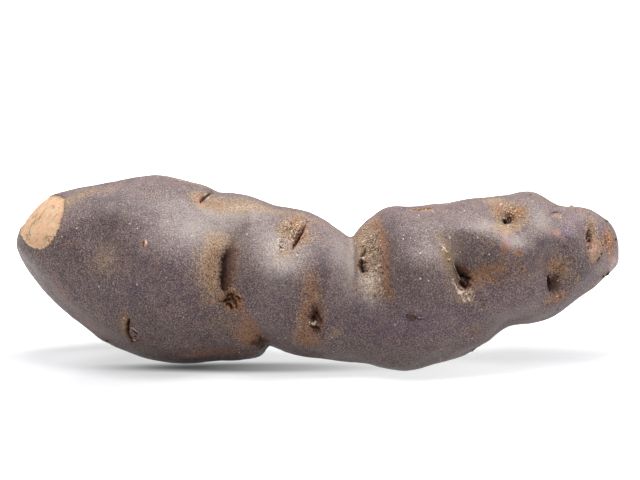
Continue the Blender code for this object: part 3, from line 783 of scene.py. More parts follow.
    for pts in (((226.2, 298.4), (229.4, 297.2), (232.0, 302.0)), ((233.4, 295.2), (235.0, 299.0), (238.8, 301.4)), ((224.4, 303.4), (229.0, 302.4), (233.6, 304.6), (235.4, 309.0)), ((238.6, 294.6), (241.6, 296.4)), ((237.4, 303.0), (241.0, 303.8)), ((228.4, 307.4), (229.4, 309.4))):
        curve = line(*pts)
        k.cut(curve, 0.15, [-0.26] * len(pts), fray=0.12)
        k.trail("ochre", curve, 0.16, [0.8] * len(pts), 0.1, fray=0.08)
        k.trail("tan", curve, 0.10, [0.7] * len(pts), 0.1, fray=0.10)
    for x0, y0, x1, y1 in ((215.8, 291.0, 217.0, 304.5), (218.6, 293.5, 220.4, 307.0), (212.4, 294.0, 213.2, 303.0)):
        curve = line((x0, y0), ((x0 + x1) / 2 - 0.9, (y0 + y1) / 2), (x1, y1))
        k.cut(curve, 0.16, (0.05, 0.14, 0.05))
        k.trail("umber_and_hollow_shade", curve, 0.15, (0.2, 0.7, 0.2), 0.15)
    k.stain("pink", px(212.8, 300.6), 0.5, 0.6, 0, 0.5)
    k.stain("rust", px(213.4, 301.6), 0.6, 0.7, 0, 0.5)

    # the notch under the stem lobe, painted dark brown and near black as shade
    k.stain("umber_and_hollow_shade", px(259.0, 344.0), 2.6, 1.1, -38, 0.9)
    k.stain("pit_shade_and_dark_marks", px(264.0, 347.0), 1.3, 0.5, -38, 0.9)
    k.stain("rust", px(252.0, 341.0), 3.2, 1.7, -35, 0.85)
    k.cut(line((249.0, 325.0), (255.5, 332.5), (261.5, 338.5), (268.5, 346.0)), 0.45, (0.0, 0.25, 0.55, 0.5), right=0.3)
    k.trail("umber_and_hollow_shade", line((252.0, 333.0), (258.0, 336.6), (264.0, 342.0)), 0.25, (0.3, 0.7, 0.8), 0.2)
    k.trail("rust", line((240.0, 306.0), (248.0, 320.0), (256.0, 333.0)), 1.5, (0.4, 0.6, 0.6), 0.4)
    k.crumbs(px(249.0, 322.0), 1.6, 2.0, -50, 20, 73, 0.14, 0.07, ("tan", "pale", "umber_and_hollow_shade"))

    # E4, the slanting slit high on the second lobe, in a rough sandy patch with pimples along it
    k.stain("tan", px(294.0, 230.0), 3.2, 4.6, -8, 1.0, 0.35, 3)
    k.stain("scurf", px(294.0, 230.0), 3.0, 4.2, -8, 1.0, 0.35, 3)
    k.stain("rust", px(297.0, 219.0), 2.0, 1.5, 0, 0.6)
    k.stain("rust", px(300.0, 237.0), 1.2, 2.0, -30, 0.8)
    k.stain("tan", px(284.5, 252.5), 2.6, 2.0, 0, 0.6)
    k.stain("scurf", px(285.0, 248.0), 2.4, 2.6, 0, 0.7)
    k.stain("tan", px(309.0, 240.0), 1.4, 2.0, 0, 0.5)
    k.slit(line((304.2, 226.4), (302.6, 230.4), (300.4, 234.8), (298.2, 238.6), (296.0, 242.2), (292.8, 248.0)), 0.18, (0.7, 0.9, 1.2, 1.2, 0.8, 0.6), right=0.24, rim=1.0, fray=0.20)
    k.slit(line((299.8, 230.0), (297.2, 234.6), (295.4, 238.6)), 0.12, (0.2, 0.35, 0.2), fray=0.12)
    k.slit(line((296.4, 243.4), (293.4, 244.2), (292.0, 248.6)), 0.12, (0.3, 0.3, 0.3), fray=0.1)
    k.trail("rust", line((305.0, 226.0), (301.0, 235.0), (297.0, 242.4)), 0.9, (0.6, 0.9, 0.7), 0.3, fray=0.2)
    k.stain("ochre", px(301.2, 237.0), 0.35, 0.8, -30, 0.8, 0.2)
    k.stain("ochre", px(297.0, 226.0), 2.4, 2.8, -20, 0.35)
    k.crumbs(px(296.0, 231.0), 2.2, 3.4, -20, 70, 75, 0.14, 0.14, ("umber_and_hollow_shade", "pit_shade_and_dark_marks", "tan", "pale", "umber_and_hollow_shade"))
    k.cut(line((303.0, 222.0), (297.4, 230.0), (292.4, 239.0)), 0.6, (-0.1, -0.24, -0.08), fray=0.1)
    k.cut(line((307.4, 228.0), (303.4, 236.0), (299.6, 243.0)), 0.5, (-0.06, -0.24, -0.06), fray=0.1)
    for pts in (((288.0, 225.0), (290.4, 218.6), (296.0, 216.4), (300.4, 218.6)), ((290.6, 227.4), (293.4, 222.6), (298.0, 221.4)), ((302.0, 217.0), (306.0, 219.0), (308.6, 224.0)), ((286.4, 236.4), (287.0, 231.0), (289.4, 227.6))):
        curve = line(*pts)
        k.cut(curve, 0.20, [0.12] * len(pts), fray=0.12)
        k.trail("umber_and_hollow_shade", curve, 0.16, [0.6] * len(pts), 0.2, fray=0.16)
    for x, y in ((301.4, 222.6), (303.6, 224.8), (299.6, 227.4), (298.2, 229.6), (296.8, 233.2), (294.4, 236.6), (293.0, 240.6), (305.0, 220.4), (293.0, 221.6), (291.4, 231.0), (290.6, 236.0), (296.4, 225.4), (289.0, 241.6), (301.6, 242.6)):
        k.bud(px(x, y), 0.19, 0.17, 0, 0.16, (("pale", 0.85),))
        k.hole(px(x + 1.3, y + 1.1), 0.14, 0.12, 0, 0.1, 0.8)
    for x, y, s in ((281.6, 241.6, 0.2), (283.4, 237.4, 0.16), (280.6, 247.0, 0.17), (287.6, 252.6, 0.17), (285.0, 243.4, 0.14), (292.6, 216.4, 0.15), (286.8, 219.6, 0.13), (304.6, 214.6, 0.16), (309.4, 221.0, 0.14)):
        k.hole(px(x, y), s, s * 0.8, 0, 0.14, 0.9)
    k.bud(px(297.9, 255.6), 0.32, 0.22, 0, 0.18, (("pale", 0.9),))
    k.trail("umber_and_hollow_shade", line((294.8, 254.4), (297.4, 253.4), (300.6, 254.6)), 0.14, (0.7, 0.8, 0.6), 0.2)

    # E6, the pit low on the second lobe, on a brown ground: painted dark red-brown shade in the pit above a white bud
    k.stain("rust", px(314.0, 317.0), 2.4, 3.2, 0, 0.6)
    k.dab(px(315.6, 313.0), 0.8, 1.5, 8, -0.5)
    k.stain("umber_and_hollow_shade", px(316.0, 312.0), 1.0, 1.7, 8, 0.95, 0.35, 2.2)
    k.stain("umber_and_hollow_shade", px(316.0, 321.0), 1.3, 2.0, 8, 0.5, 0.4)
    k.hole(px(313.9, 318.6), 0.44, 0.46, 10, 0.8)
    k.hole(px(316.6, 314.0), 0.26, 0.42, -20, 0.4)
    k.slit(line((317.4, 314.4), (319.6, 317.6), (321.2, 321.0), (321.6, 324.6)), 0.13, (0.3, 0.4, 0.35, 0.1), inside_shade=0.6, fray=0.1)
    k.cut(line((322.4, 313.4), (325.4, 320.0), (326.8, 326.5)), 0.5, (-0.06, -0.14, -0.05))
    k.bud(px(313.6, 323.2), 0.36, 0.25, -25, 0.5, (("pale", 1.0), ("pale", 0.7)))
    k.bud(px(315.6, 322.0), 0.22, 0.19, 10, 0.4, (("pale", 0.95), ("pink", 0.2)))
    k.bud(px(309.6, 322.2), 0.24, 0.22, 0, 0.2, (("pale", 0.8),))
    k.bud(px(318.0, 324.2), 0.16, 0.14, 0, 0.14, (("pink", 0.7),))
    k.slit(line((311.0, 326.2), (314.0, 328.2), (316.8, 328.0), (319.6, 329.8)), 0.15, (0.4, 0.6, 0.5, 0.3), rim=0.4, fray=0.12)
    k.slit(line((315.0, 325.8), (317.4, 326.8), (319.8, 328.6)), 0.10, (0.3, 0.3, 0.2), rim=0.3, fray=0.06)
    k.stain("umber_and_hollow_shade", px(316.0, 332.0), 1.1, 0.5, 10, 0.5, 0.4)
    k.stain("umber_and_hollow_shade", px(308.0, 316.0), 0.26, 0.34, 0, 0.7)
    k.trail("rust", line((311.0, 273.0), (311.5, 290.0), (311.5, 306.0), (309.0, 325.0), (306.0, 343.0)), 1.9, (0.45, 0.6, 0.7, 0.7, 0.7), 0.4, right=2.2)
    k.trail("scurf", line((311.0, 273.0), (311.5, 290.0), (309.0, 306.0), (305.0, 325.0), (304.0, 343.0)), 2.0, (0.25, 0.4, 0.5, 0.55, 0.5), 0.4)
    k.trail("tan", line((308.0, 278.0), (305.0, 300.0), (301.0, 322.0), (298.0, 344.0)), 1.4, (0.3, 0.55, 0.65, 0.6), 0.4)
    k.stain("tan", px(335.0, 333.0), 1.8, 1.8, 0, 0.55)
    k.stain("rust", px(306.0, 340.0), 3.6, 1.8, 0, 0.5)

    # E5, the slit in the pale sandy waist, with its buds
    k.trail("tan", line((362.0, 233.0), (366.0, 250.0), (370.0, 268.0), (375.0, 292.0)), 2.7, (0.9, 0.8, 0.75, 0.65), 0.35, right=3.4)
    # painted highlight down the waist, partly pale dust
    k.trail("bloom_and_highlight", line((361.0, 238.0), (366.0, 262.0), (369.0, 282.0), (372.0, 296.0)), 1.8, (0.5, 0.7, 0.95, 0.7), 0.35, right=2.6)
    k.trail("rust", line((377.0, 224.0), (383.0, 240.0), (386.0, 258.0), (386.4, 274.0), (388.0, 292.0), (391.5, 304.0)), 1.7, (0.7, 0.85, 0.95, 0.9, 0.7, 0.3), 0.5, right=1.3)
    k.trail("umber_and_hollow_shade", line((386.0, 236.0), (390.0, 256.0), (390.5, 276.0), (391.5, 294.0)), 0.9, (0.3, 0.45, 0.5, 0.3), 0.6, right=0.7, fray=0.3)
    k.trail("scurf", line((366.0, 228.0), (375.0, 246.0), (379.0, 262.0), (381.0, 280.0), (386.0, 298.0)), 2.8, (0.9, 1.0, 0.9, 0.7, 0.6), 0.4, right=2.6)
    k.stain("pale", px(370.0, 284.0), 2.4, 3.0, 0, 0.42)
    k.stain("pale", px(366.0, 262.0), 2.0, 3.0, 0, 0.2)
    k.crumbs(px(374.0, 248.0), 3.0, 3.4, 0, 90, 76, 0.13, 0.12, ("umber_and_hollow_shade", "pit_shade_and_dark_marks", "pale", "tan", "rust"))
    k.crumbs(px(384.0, 272.0), 1.8, 4.6, 0, 80, 77, 0.13, 0.10, ("umber_and_hollow_shade", "pit_shade_and_dark_marks", "rust", "tan"))
    k.slit(line((364.4, 249.8), (362.8, 252.6), (361.4, 255.8)), 0.16, (0.4, 0.7, 0.5), right=0.2, rim=0.4, fray=0.12)
    k.slit(line((361.2, 258.4), (360.2, 262.6), (360.2, 267.2), (361.6, 271.8)), 0.22, (0.5, 1.1, 1.1, 0.6), right=0.34, rim=0.5, fray=0.14)
    k.slit(line((361.6, 263.4), (364.4, 262.4), (367.4, 263.2)), 0.10, (0.4, 0.3, 0.1), rim=0.3, fray=0.08)
    k.slit(line((362.0, 271.0), (364.6, 270.8), (367.2, 269.4)), 0.10, (0.3, 0.3, 0.15), rim=0.3, fray=0.12)
    k.stain("umber_and_hollow_shade", px(361.6, 262.0), 1.0, 1.9, 4, 0.62, 0.35)
    k.stain("rust", px(362.6, 264.0), 1.5, 2.4, 4, 0.6, 0.35)
    k.slit(line((361.8, 267.4), (364.2, 266.8), (366.2, 265.2)), 0.10, (0.35, 0.3, 0.1), rim=0.3, fray=0.12)
    k.crumbs(px(363.4, 266.6), 0.7, 1.0, 0, 26, 92, 0.13, 0.12, ("umber_and_hollow_shade", "pit_shade_and_dark_marks", "tan", "rust"))
    k.bud(px(362.6, 258.4), 0.36, 0.30, 0, 0.50, (("pink", 0.7), ("pale", 1.0)))
    k.bud(px(363.2, 266.0), 0.26, 0.30, 0, 0.34, (("tan", 0.9), ("pink", 0.3)))
    for x, y, s in ((363.6, 246.2, 0.24), (369.6, 248.0, 0.18), (371.8, 248.6, 0.14), (373.8, 247.4, 0.20), (375.0, 246.0, 0.16), (366.2, 277.4, 0.18), (361.0, 246.8, 0.14), (377.5, 250.5, 0.14), (355.6, 272.0, 0.12), (372.0, 265.0, 0.13), (370.4, 240.0, 0.14), (378.0, 243.0, 0.15), (381.0, 254.0, 0.16), (367.0, 271.6, 0.12)):
        k.hole(px(x, y), s, s * 0.75, 0, 0.16, 0.9)
    k.cut(line((353.2, 236.0), (353.4, 252.0), (353.8, 270.0), (354.6, 290.0), (353.4, 298.0)), 0.3, (0.12, 0.15, 0.2, 0.15, 0.0), right=0.6)
    k.trail("rust", line((352.6, 272.0), (353.4, 284.0), (354.4, 296.0)), 0.4, (0.2, 0.6, 0.4), 0.3)
    k.trail("umber_and_hollow_shade", line((355.4, 286.0), (356.4, 291.0), (357.4, 296.0)), 0.15, (0.5, 0.7, 0.3), 0.2)

    # the flaky mark on top of the third lobe, and a wrinkle beside it
    for x0, y0, x1, y1 in ((413.2, 210.0, 417.0, 208.8), (418.4, 210.8, 422.0, 208.0), (423.6, 209.4, 426.4, 208.2), (427.4, 209.0, 431.6, 208.0)):
        curve = [px(x0, y0), px((x0 + x1) / 2, (y0 + y1) / 2 - 0.5), px(x1, y1)]
        k.cut(curve, 0.24, (0.1, 0.3, 0.1))
        k.trail("rust", curve, 0.5, (1.0, 1.0, 0.9), 0.3)
        k.trail("umber_and_hollow_shade", curve, 0.26, (0.9, 0.9, 0.6), 0.3)
    k.stain("tan", px(421.5, 209.6), 2.8, 0.9, 3, 0.8)
    k.cut(line((471.6, 215.6), (475.6, 212.2), (479.4, 212.6), (477.4, 215.2)), 0.17, (0.1, 0.2, 0.2, 0.05))
    k.trail("umber_and_hollow_shade", line((471.6, 215.6), (475.6, 212.2), (479.4, 212.6), (477.4, 215.2)), 0.16, (0.4, 0.7, 0.7, 0.3), 0.15)

    # the dark scab on the third lobe
    k.dab(px(411.8, 317.0), 1.0, 0.62, 0, 0.13, 4)
    k.ring(px(411.8, 317.0), 0.95, 0.2, 0.07, 0.6)
    k.cut(line((416.6, 318.2), (420.6, 319.2), (423.8, 319.0)), 0.2, (0.16, 0.16, 0.05))
    k.stain("umber_and_hollow_shade", px(411.4, 317.0), 1.0, 0.75, 0, 0.8, 0.12, 4)
    k.stain("pink", px(413.0, 315.4), 0.6, 0.3, 0, 0.22, 0.2)
    k.stain("violet", px(411.6, 317.4), 0.9, 0.6, 0, 0.3, 0.12, 3)
    for pts in (((406.6, 317.6), (408.0, 314.2), (411.4, 312.4), (415.0, 313.4)), ((407.8, 319.0), (411.6, 320.4), (415.2, 319.4)), ((409.6, 316.4), (412.6, 315.4), (415.6, 316.6)), ((414.6, 317.4), (419.0, 319.4), (423.6, 319.4))):
        k.trail("pit_shade_and_dark_marks", line(*pts), 0.20, [0.5, 0.62, 0.5, 0.4][: len(pts)], 0.2, fray=0.1)

    # E7, the deep eye of the third lobe: painted dark brown shade in its hollow and black shade in its slits, with
    # flaky skin on its left and below
    k.stain("umber_and_hollow_shade", px(462.0, 272.0), 2.0, 2.6, -35, 0.85)
    k.stain("rust", px(470.0, 280.0), 2.4, 2.0, 10, 0.85)
    k.slit(line((455.0, 263.4), (457.0, 268.0), (460.0, 273.6), (462.6, 277.0)), 0.34, (0.5, 1.2, 1.6, 0.9), right=0.68, rim=0.6)
    k.slit(line((463.4, 274.4), (467.0, 277.6), (471.4, 278.8)), 0.27, (0.7, 1.2, 0.5), right=0.27, rim=0.6)
    k.slit(line((460.4, 281.4), (463.0, 285.0), (466.8, 287.6)), 0.34, (0.9, 1.4, 0.9), right=0.40, rim=0.5)
    k.slit(line((464.2, 279.8), (467.8, 282.6), (467.6, 285.6)), 0.16, (0.5, 0.6, 0.4), right=0.16, rim=0.5)
    k.dab(px(464.4, 281.6), 0.3, 0.3, 0, 0.4)
    k.stain("rust", px(464.4, 281.4), 0.28, 0.24, 0, 1.0, 0.1)
    k.dab(px(468.6, 274.0), 0.3, 0.3, 0, 0.3)
    k.dab(px(463.8, 270.6), 0.2, 0.26, 0, 0.25)
    for pts, h in (
        (((440.4, 244.0), (443.8, 247.6), (446.8, 251.6)), 0.14),
        (((447.4, 259.6), (450.4, 258.6)), 0.18),
        (((453.0, 262.6), (455.0, 269.0), (458.2, 277.0), (460.4, 281.6)), 0.3),
        (((452.6, 279.0), (456.0, 287.0), (459.4, 294.0)), 0.12),
        (((458.6, 290.0), (461.8, 296.0), (464.6, 302.0)), 0.14),
        (((463.6, 290.4), (466.8, 296.0), (470.0, 301.0)), 0.12),
        (((461.0, 293.0), (463.4, 292.0)), 0.12),
        (((470.4, 288.8), (471.6, 293.6)), 0.12),
    ):
        curve = line(*pts)
        k.cut(curve, 0.18, [-h] * len(pts), fray=0.16)
        k.trail("pale", curve, 0.15, [0.68 if h < 0.25 else 0.42] * len(pts), 0.3, fray=0.26)
    k.stain("rust", px(447.0, 256.0), 0.9, 0.9, 0, 0.9)
    k.stain("umber_and_hollow_shade", px(449.0, 261.0), 0.5, 0.4, 0, 0.8)
    k.stain("olive", px(451.0, 262.0), 1.5, 4.6, 22, 0.7)
    # painted shade under the brow above the eye
    k.stain("olive", px(459.0, 247.0), 3.4, 2.2, -30, 0.4)
    k.stain("tan", px(482.0, 246.0), 3.0, 3.0, 0, 0.25)
    k.crumbs(px(470.0, 246.0), 4.0, 2.4, 0, 60, 80, 0.14, 0.06, ("pale", "umber_and_hollow_shade", "tan", "pit_shade_and_dark_marks"))
    k.stain("tan", px(464.5, 295.0), 2.4, 1.9, -15, 0.9)
    k.stain("tan", px(446.0, 252.0), 1.1, 3.0, 25, 0.6)
    k.crumbs(px(464.0, 294.0), 2.2, 1.8, -20, 70, 81, 0.13, 0.12, ("pale", "tan", "umber_and_hollow_shade", "pit_shade_and_dark_marks", "rust"))
    k.crumbs(px(464.0, 277.0), 1.6, 2.2, -30, 60, 78, 0.16, 0.22, ("pit_shade_and_dark_marks", "pit_shade_and_dark_marks", "umber_and_hollow_shade", "rust"))
    k.crumbs(px(457.0, 272.0), 0.5, 2.4, 28, 34, 93, 0.13, 0.12, ("pale", "umber_and_hollow_shade", "tan", "pit_shade_and_dark_marks"))
    k.crumbs(px(465.0, 276.0), 1.0, 1.8, -30, 16, 94, 0.2, 0.30, ("rust", "ochre", "tan"))
    k.crumbs(px(470.0, 283.0), 1.2, 1.2, 0, 30, 79, 0.15, 0.16, ("pit_shade_and_dark_marks", "umber_and_hollow_shade", "rust"))
    k.crumbs(px(451.0, 263.0), 1.2, 4.4, 20, 34, 82, 0.12, 0.08, ("pale", "umber_and_hollow_shade", "pit_shade_and_dark_marks", "tan"))
    for x, y, s, a in ((480.5, 273.0, 1.7, 0.75), (487.0, 269.0, 1.0, 0.6), (500.6, 267.4, 1.0, 0.8), (482.5, 309.0, 0.9, 0.6), (491.0, 280.0, 0.9, 0.45), (519.0, 253.0, 0.8, 0.9), (513.0, 262.0, 0.7, 0.45), (540.0, 262.0, 0.6, 0.5), (530.0, 284.0, 0.7, 0.4), (476.0, 330.0, 2.0, 0.4), (462.0, 331.0, 1.4, 0.35)):
        k.stain("rust", px(x, y), s, s * 0.9, 0, a)
    k.stain("rust", px(522.3, 268.6), 0.62, 0.62, 0, 1.0, 0.15, 3)
    k.stain("umber_and_hollow_shade", px(522.3, 268.8), 0.3, 0.36, 0, 0.9, 0.15)

    # E8, the round pit near the top, in its orange halo
    c = px(507.0, 220.4)
    k.stain("tan", px(509.5, 216.5), 3.6, 3.8, 0, 1.0, 0.3, 3)
    k.stain("rust", px(515.5, 213.0), 2.2, 2.4, 0, 0.8)
    k.stain("ochre", px(515.0, 214.0), 1.9, 2.2, 0, 0.45)
    k.stain("scurf", px(510.0, 215.0), 3.2, 3.4, 0, 0.6)
    k.stain("rust", px(498.0, 207.0), 1.6, 2.4, 10, 0.75)
    k.stain("tan", px(506.0, 230.0), 2.8, 1.6, 0, 0.8)
    k.dab(c, 0.95, 0.85, 0, -0.8, 2.6)
    # painted shade in the pit: dark brown, and near black on its left
    k.stain("umber_and_hollow_shade", c, 1.05, 0.95, 0, 1.0, 0.15, 3)
    k.dab(px(504.6, 219.6), 0.42, 0.6, 10, -0.6)
    k.stain("pit_shade_and_dark_marks", px(504.7, 219.6), 0.44, 0.56, 10, 1.0, 0.12, 3)
    k.dab(px(508.3, 220.6), 0.46, 0.42, 0, 0.5)
    k.stain("olive", px(508.4, 220.4), 0.4, 0.36, 0, 1.0, 0.1)
    k.stain("pale", px(506.4, 221.8), 0.2, 0.16, 0, 0.9, 0.1)
    k.stain("pit_shade_and_dark_marks", px(506.4, 224.2), 0.26, 0.2, 0, 0.8, 0.1)
    k.trail("pit_shade_and_dark_marks", line((507.6, 216.8), (510.4, 217.4), (511.0, 220.6), (509.6, 223.4)), 0.16, (0.7, 0.8, 0.8, 0.4), 0.15)
    for r, top in ((0.0, 213.6),):
        curve = line((505.4, 215.2), (508.6, 213.4), (512.4, 214.4), (513.6, 218.0), (512.8, 222.0))
        k.cut(curve, 0.2, (0.1, 0.22, 0.24, 0.2, 0.05))
        k.trail("umber_and_hollow_shade", curve, 0.22, (0.6, 0.9, 0.9, 0.7, 0.3), 0.2)
    k.cut(line((506.6, 215.6), (510.4, 215.4), (512.0, 218.6)), 0.18, (-0.1, -0.16, -0.1))
    k.stain("pale", px(514.0, 222.0), 2.6, 2.2, 0, 0.14)
    k.crumbs(px(510.0, 212.0), 2.8, 2.8, 0, 100, 83, 0.13, 0.11, ("rust", "tan", "pale", "umber_and_hollow_shade", "rust"))
    k.crumbs(px(505.0, 231.0), 2.2, 1.6, 0, 22, 84, 0.13, 0.08, ("rust", "tan", "pale"))
    k.stain("pink", px(505.5, 242.0), 0.9, 1.7, -8, 0.26)
    k.stain("rust", px(505.5, 248.0), 1.0, 1.5, -8, 0.6)
    k.trail("violet", line((508.6, 236.0), (509.6, 242.0)), 0.4, (0.5, 0.5), 0.2)

    # the orange bud, the violet swirl and the pink spot between the last eyes
    curve = line((549.6, 214.2), (554.0, 212.2), (558.2, 211.8), (560.4, 213.8))
    k.cut(curve, 0.2, (0.1, 0.26, 0.26, 0.1))
    k.trail("umber_and_hollow_shade", curve, 0.2, (0.5, 0.9, 0.8, 0.3), 0.2)
    k.trail("violet", line((550.6, 214.6), (555.0, 213.2), (560.0, 215.0)), 0.4, (0.6, 0.8, 0.4), 0.2)
    k.dab(px(557.4, 215.6), 0.7, 0.5, 0, 0.14)
    k.stain("tan", px(557.6, 215.6), 1.1, 0.85, 0, 1.0)
    k.stain("rust", px(559.6, 214.4), 0.8, 0.6, 0, 0.6)
    k.crumbs(px(557.4, 215.6), 0.9, 0.7, 0, 14, 85, 0.12, 0.07, ("tan", "pale", "umber_and_hollow_shade"))
    for r in (0.5, 1.0, 1.45):
        k.ring(px(566.4, 230.0), r, 0.16, 0.07, 0.8, -30)
    near, s, t = k.local(px(566.4, 230.0), -30, 3.2)
    r = np.hypot(s, t / 0.8) + 0.14 * k.ragged[near, 0]
    k.paint["violet"][near] = np.maximum(k.paint["violet"][near], 0.72 * np.clip(np.cos(r * 11.0) * 1.3 + 0.1, 0, 1) * np.exp(-((r / 1.5) ** 4)))
    k.trail("violet", line((564.0, 234.4), (569.0, 235.0), (573.0, 232.6)), 0.24, (0.5, 0.8, 0.4), 0.2)
    k.stain("pink", px(557.8, 233.0), 0.7, 0.6, 0, 0.6)
    k.stain("pink", px(551.0, 230.0), 0.9, 0.6, 0, 0.3)

    # E9, the upright hole: painted near black on its left as shade, opening into a hollow painted dark brown as shade
    k.stain("tan", px(556.0, 266.0), 2.3, 2.2, 20, 0.7)
    k.stain("rust", px(560.0, 268.0), 1.4, 1.2, 0, 0.6)
    k.stain("olive", px(562.0, 279.0), 2.2, 2.6, 0, 0.22)
    k.stain("rust", px(556.0, 266.0), 2.2, 1.8, 0, 0.6)
    k.stain("tan", px(563.0, 276.0), 2.0, 2.4, 0, 0.5)
    k.stain("scurf", px(556.0, 268.0), 2.4, 2.6, 0, 0.5)
    k.stain("umber_and_hollow_shade", px(554.0, 284.0), 1.7, 1.7, 0, 0.95, 0.25, 3)
    k.dab(px(553.4, 283.6), 1.3, 1.5, 0, -0.75)
    k.dab(px(549.8, 283.6), 0.46, 1.4, 4, -0.95, 2.2)
    k.stain("pit_shade_and_dark_marks", px(549.8, 282.6), 0.5, 1.25, 0, 1.0, 0.3, 3)
    k.stain("pit_shade_and_dark_marks", px(550.8, 289.0), 0.4, 0.9, 0, 0.7, 0.2)
    k.cut(line((546.8, 271.0), (545.8, 280.0), (546.4, 289.0)), 0.34, (-0.2, -0.26, -0.1))
    k.trail("pale", line((547.0, 272.4), (546.2, 279.0)), 0.2, (0.5, 0.4), 0.15)
    for x, y, r in ((551.8, 275.6, 0.2), (554.8, 274.8, 0.16), (558.6, 276.4, 0.2), (548.8, 276.8, 0.16)):
        k.dab(px(x, y), r, r, 0, -0.16)
        k.stain("pit_shade_and_dark_marks", px(x, y), r, r, 0, 0.85, 0.1)
    k.dab(px(556.4, 279.4), 0.5, 0.3, 0, 0.26)
    k.stain("tan", px(556.4, 279.2), 0.4, 0.26, 0, 0.6, 0.1)
    k.dab(px(550.4, 278.0), 0.2, 0.14, 0, 0.2)
    k.stain("pink", px(550.4, 278.0), 0.2, 0.14, 0, 0.9, 0.1)
    k.stain("rust", px(558.0, 297.5), 2.9, 1.3, 10, 0.8)
    k.stain("tan", px(549.0, 300.0), 1.6, 1.6, 0, 0.5)
    k.stain("tan", px(578.0, 280.0), 1.1, 1.0, 0, 0.5)
    k.crumbs(px(558.0, 297.0), 2.6, 1.4, 8, 40, 86, 0.13, 0.08, ("rust", "pink", "tan", "umber_and_hollow_shade", "pit_shade_and_dark_marks"))
    k.crumbs(px(556.0, 266.0), 2.2, 2.2, 0, 60, 87, 0.13, 0.10, ("tan", "pale", "umber_and_hollow_shade", "rust", "pit_shade_and_dark_marks"))
    k.crumbs(px(551.6, 282.0), 1.1, 1.8, 0, 60, 90, 0.15, 0.18, ("pit_shade_and_dark_marks", "umber_and_hollow_shade", "rust", "tan"))
    k.stain("rust", px(540.0, 262.0), 3.0, 4.0, 0, 0.2)

    # E10, the slit in the pale groove before the rose end
    k.trail("tan", line((589.6, 220.0), (591.2, 232.0), (592.6, 246.0), (594.6, 258.0)), 1.3, (0.8, 1.0, 1.0, 0.9), 0.3)
    k.stain("tan", px(594.0, 248.0), 1.6, 1.9, 6, 0.9)
    k.stain("ochre", px(596.0, 246.0), 1.2, 2.4, 6, 0.25)
    k.stain("scurf", px(592.0, 240.0), 1.6, 3.6, 6, 0.45)
    k.cut(line((590.8, 226.0), (589.4, 232.0), (587.8, 238.0), (588.4, 247.6)), 0.36, (0.3, 0.6, 0.6, 0.4), jitter=0.1)
    k.cut(line((586.0, 227.0), (584.6, 238.0), (585.6, 247.0)), 0.3, (-0.14, -0.22, -0.14))
    k.dab(px(592.0, 240.0), 0.4, 1.0, 8, 0.22)
    # small pits along the slit, painted near black as shade
    for x, y, long, wide, turn in ((590.2, 229.0, 0.17, 0.22, 0), (589.0, 232.6, 0.20, 0.30, 10), (591.2, 234.6, 0.15, 0.18, 0), (587.8, 237.0, 0.22, 0.42, 10), (586.6, 242.4, 0.22, 0.46, 6), (589.2, 241.0, 0.14, 0.16, 0), (588.6, 248.6, 0.26, 0.34, 24), (586.4, 247.0, 0.16, 0.14, 20)):
        k.dab(px(x, y), long, wide, turn, -0.25)
        k.stain("pit_shade_and_dark_marks", px(x, y), long, wide, turn, 1.0, 0.2, 3)
    k.stain("umber_and_hollow_shade", px(588.6, 236.0), 0.7, 2.2, 5, 0.6, 0.5)
    k.stain("rust", px(590.0, 240.0), 1.2, 3.2, 5, 0.4)
    k.crumbs(px(589.6, 238.0), 1.0, 3.2, 6, 60, 88, 0.14, 0.14, ("umber_and_hollow_shade", "tan", "umber_and_hollow_shade", "pit_shade_and_dark_marks", "pit_shade_and_dark_marks"))
    k.stain("rust", px(609.0, 240.0), 2.0, 2.9, 10, 1.0, 0.3, 3)
    k.stain("ochre", px(610.0, 241.0), 1.6, 2.4, 10, 0.4)
    k.stain("scurf", px(609.0, 241.0), 2.0, 2.8, 10, 0.9)
    k.crumbs(px(609.0, 240.0), 1.9, 2.9, 10, 110, 89, 0.15, 0.14, ("rust", "umber_and_hollow_shade", "tan", "pink", "umber_and_hollow_shade", "pit_shade_and_dark_marks"))
    k.stain("pink", px(595.0, 250.0), 1.4, 2.0, 0, 0.35)
    k.stain("pale", px(594.0, 248.0), 1.2, 1.8, 0, 0.25)
    # painted shade low on the rose end
    k.stain("shade", px(588.0, 272.0), 3.2, 2.2, 20, 0.5)
    k.stain("pink", px(612.0, 260.0), 1.5, 1.9, 0, 0.5)
    k.stain("pale", px(614.0, 262.0), 1.2, 1.6, 0, 0.35)
    k.stain("violet", px(602.0, 231.0), 0.9, 1.1, 0, 0.4)
    k.stain("violet", px(590.0, 277.0), 1.8, 0.9, 35, 0.25)
    # crumbs of soil stuck to the rose end
    for x, y, long, wide, turn, h in (
        (606.0, 221.6, 0.40, 0.16, -35, 0.28), (602.6, 222.8, 0.14, 0.14, 0, 0.12), (615.2, 239.6, 0.24, 0.30, 0, 0.3),
        (607.4, 273.4, 0.55, 0.30, 30, 0.45), (603.0, 276.0, 0.30, 0.26, 10, 0.35), (598.4, 258.6, 0.42, 0.16, 45, 0.22),
        (601.6, 254.0, 0.26, 0.14, 60, 0.14), (597.0, 261.0, 0.16, 0.14, 0, 0.12), (557.5, 309.6, 0.36, 0.18, -40, 0.2),
        (612.6, 229.0, 0.14, 0.14, 0, 0.12),
    ):
        k.dab(px(x, y), long, wide, turn, h, 3.0)
        k.stain("pit_shade_and_dark_marks", px(x, y), long * 1.1, wide * 1.15, turn, 1.0, 0.1, 3.5)


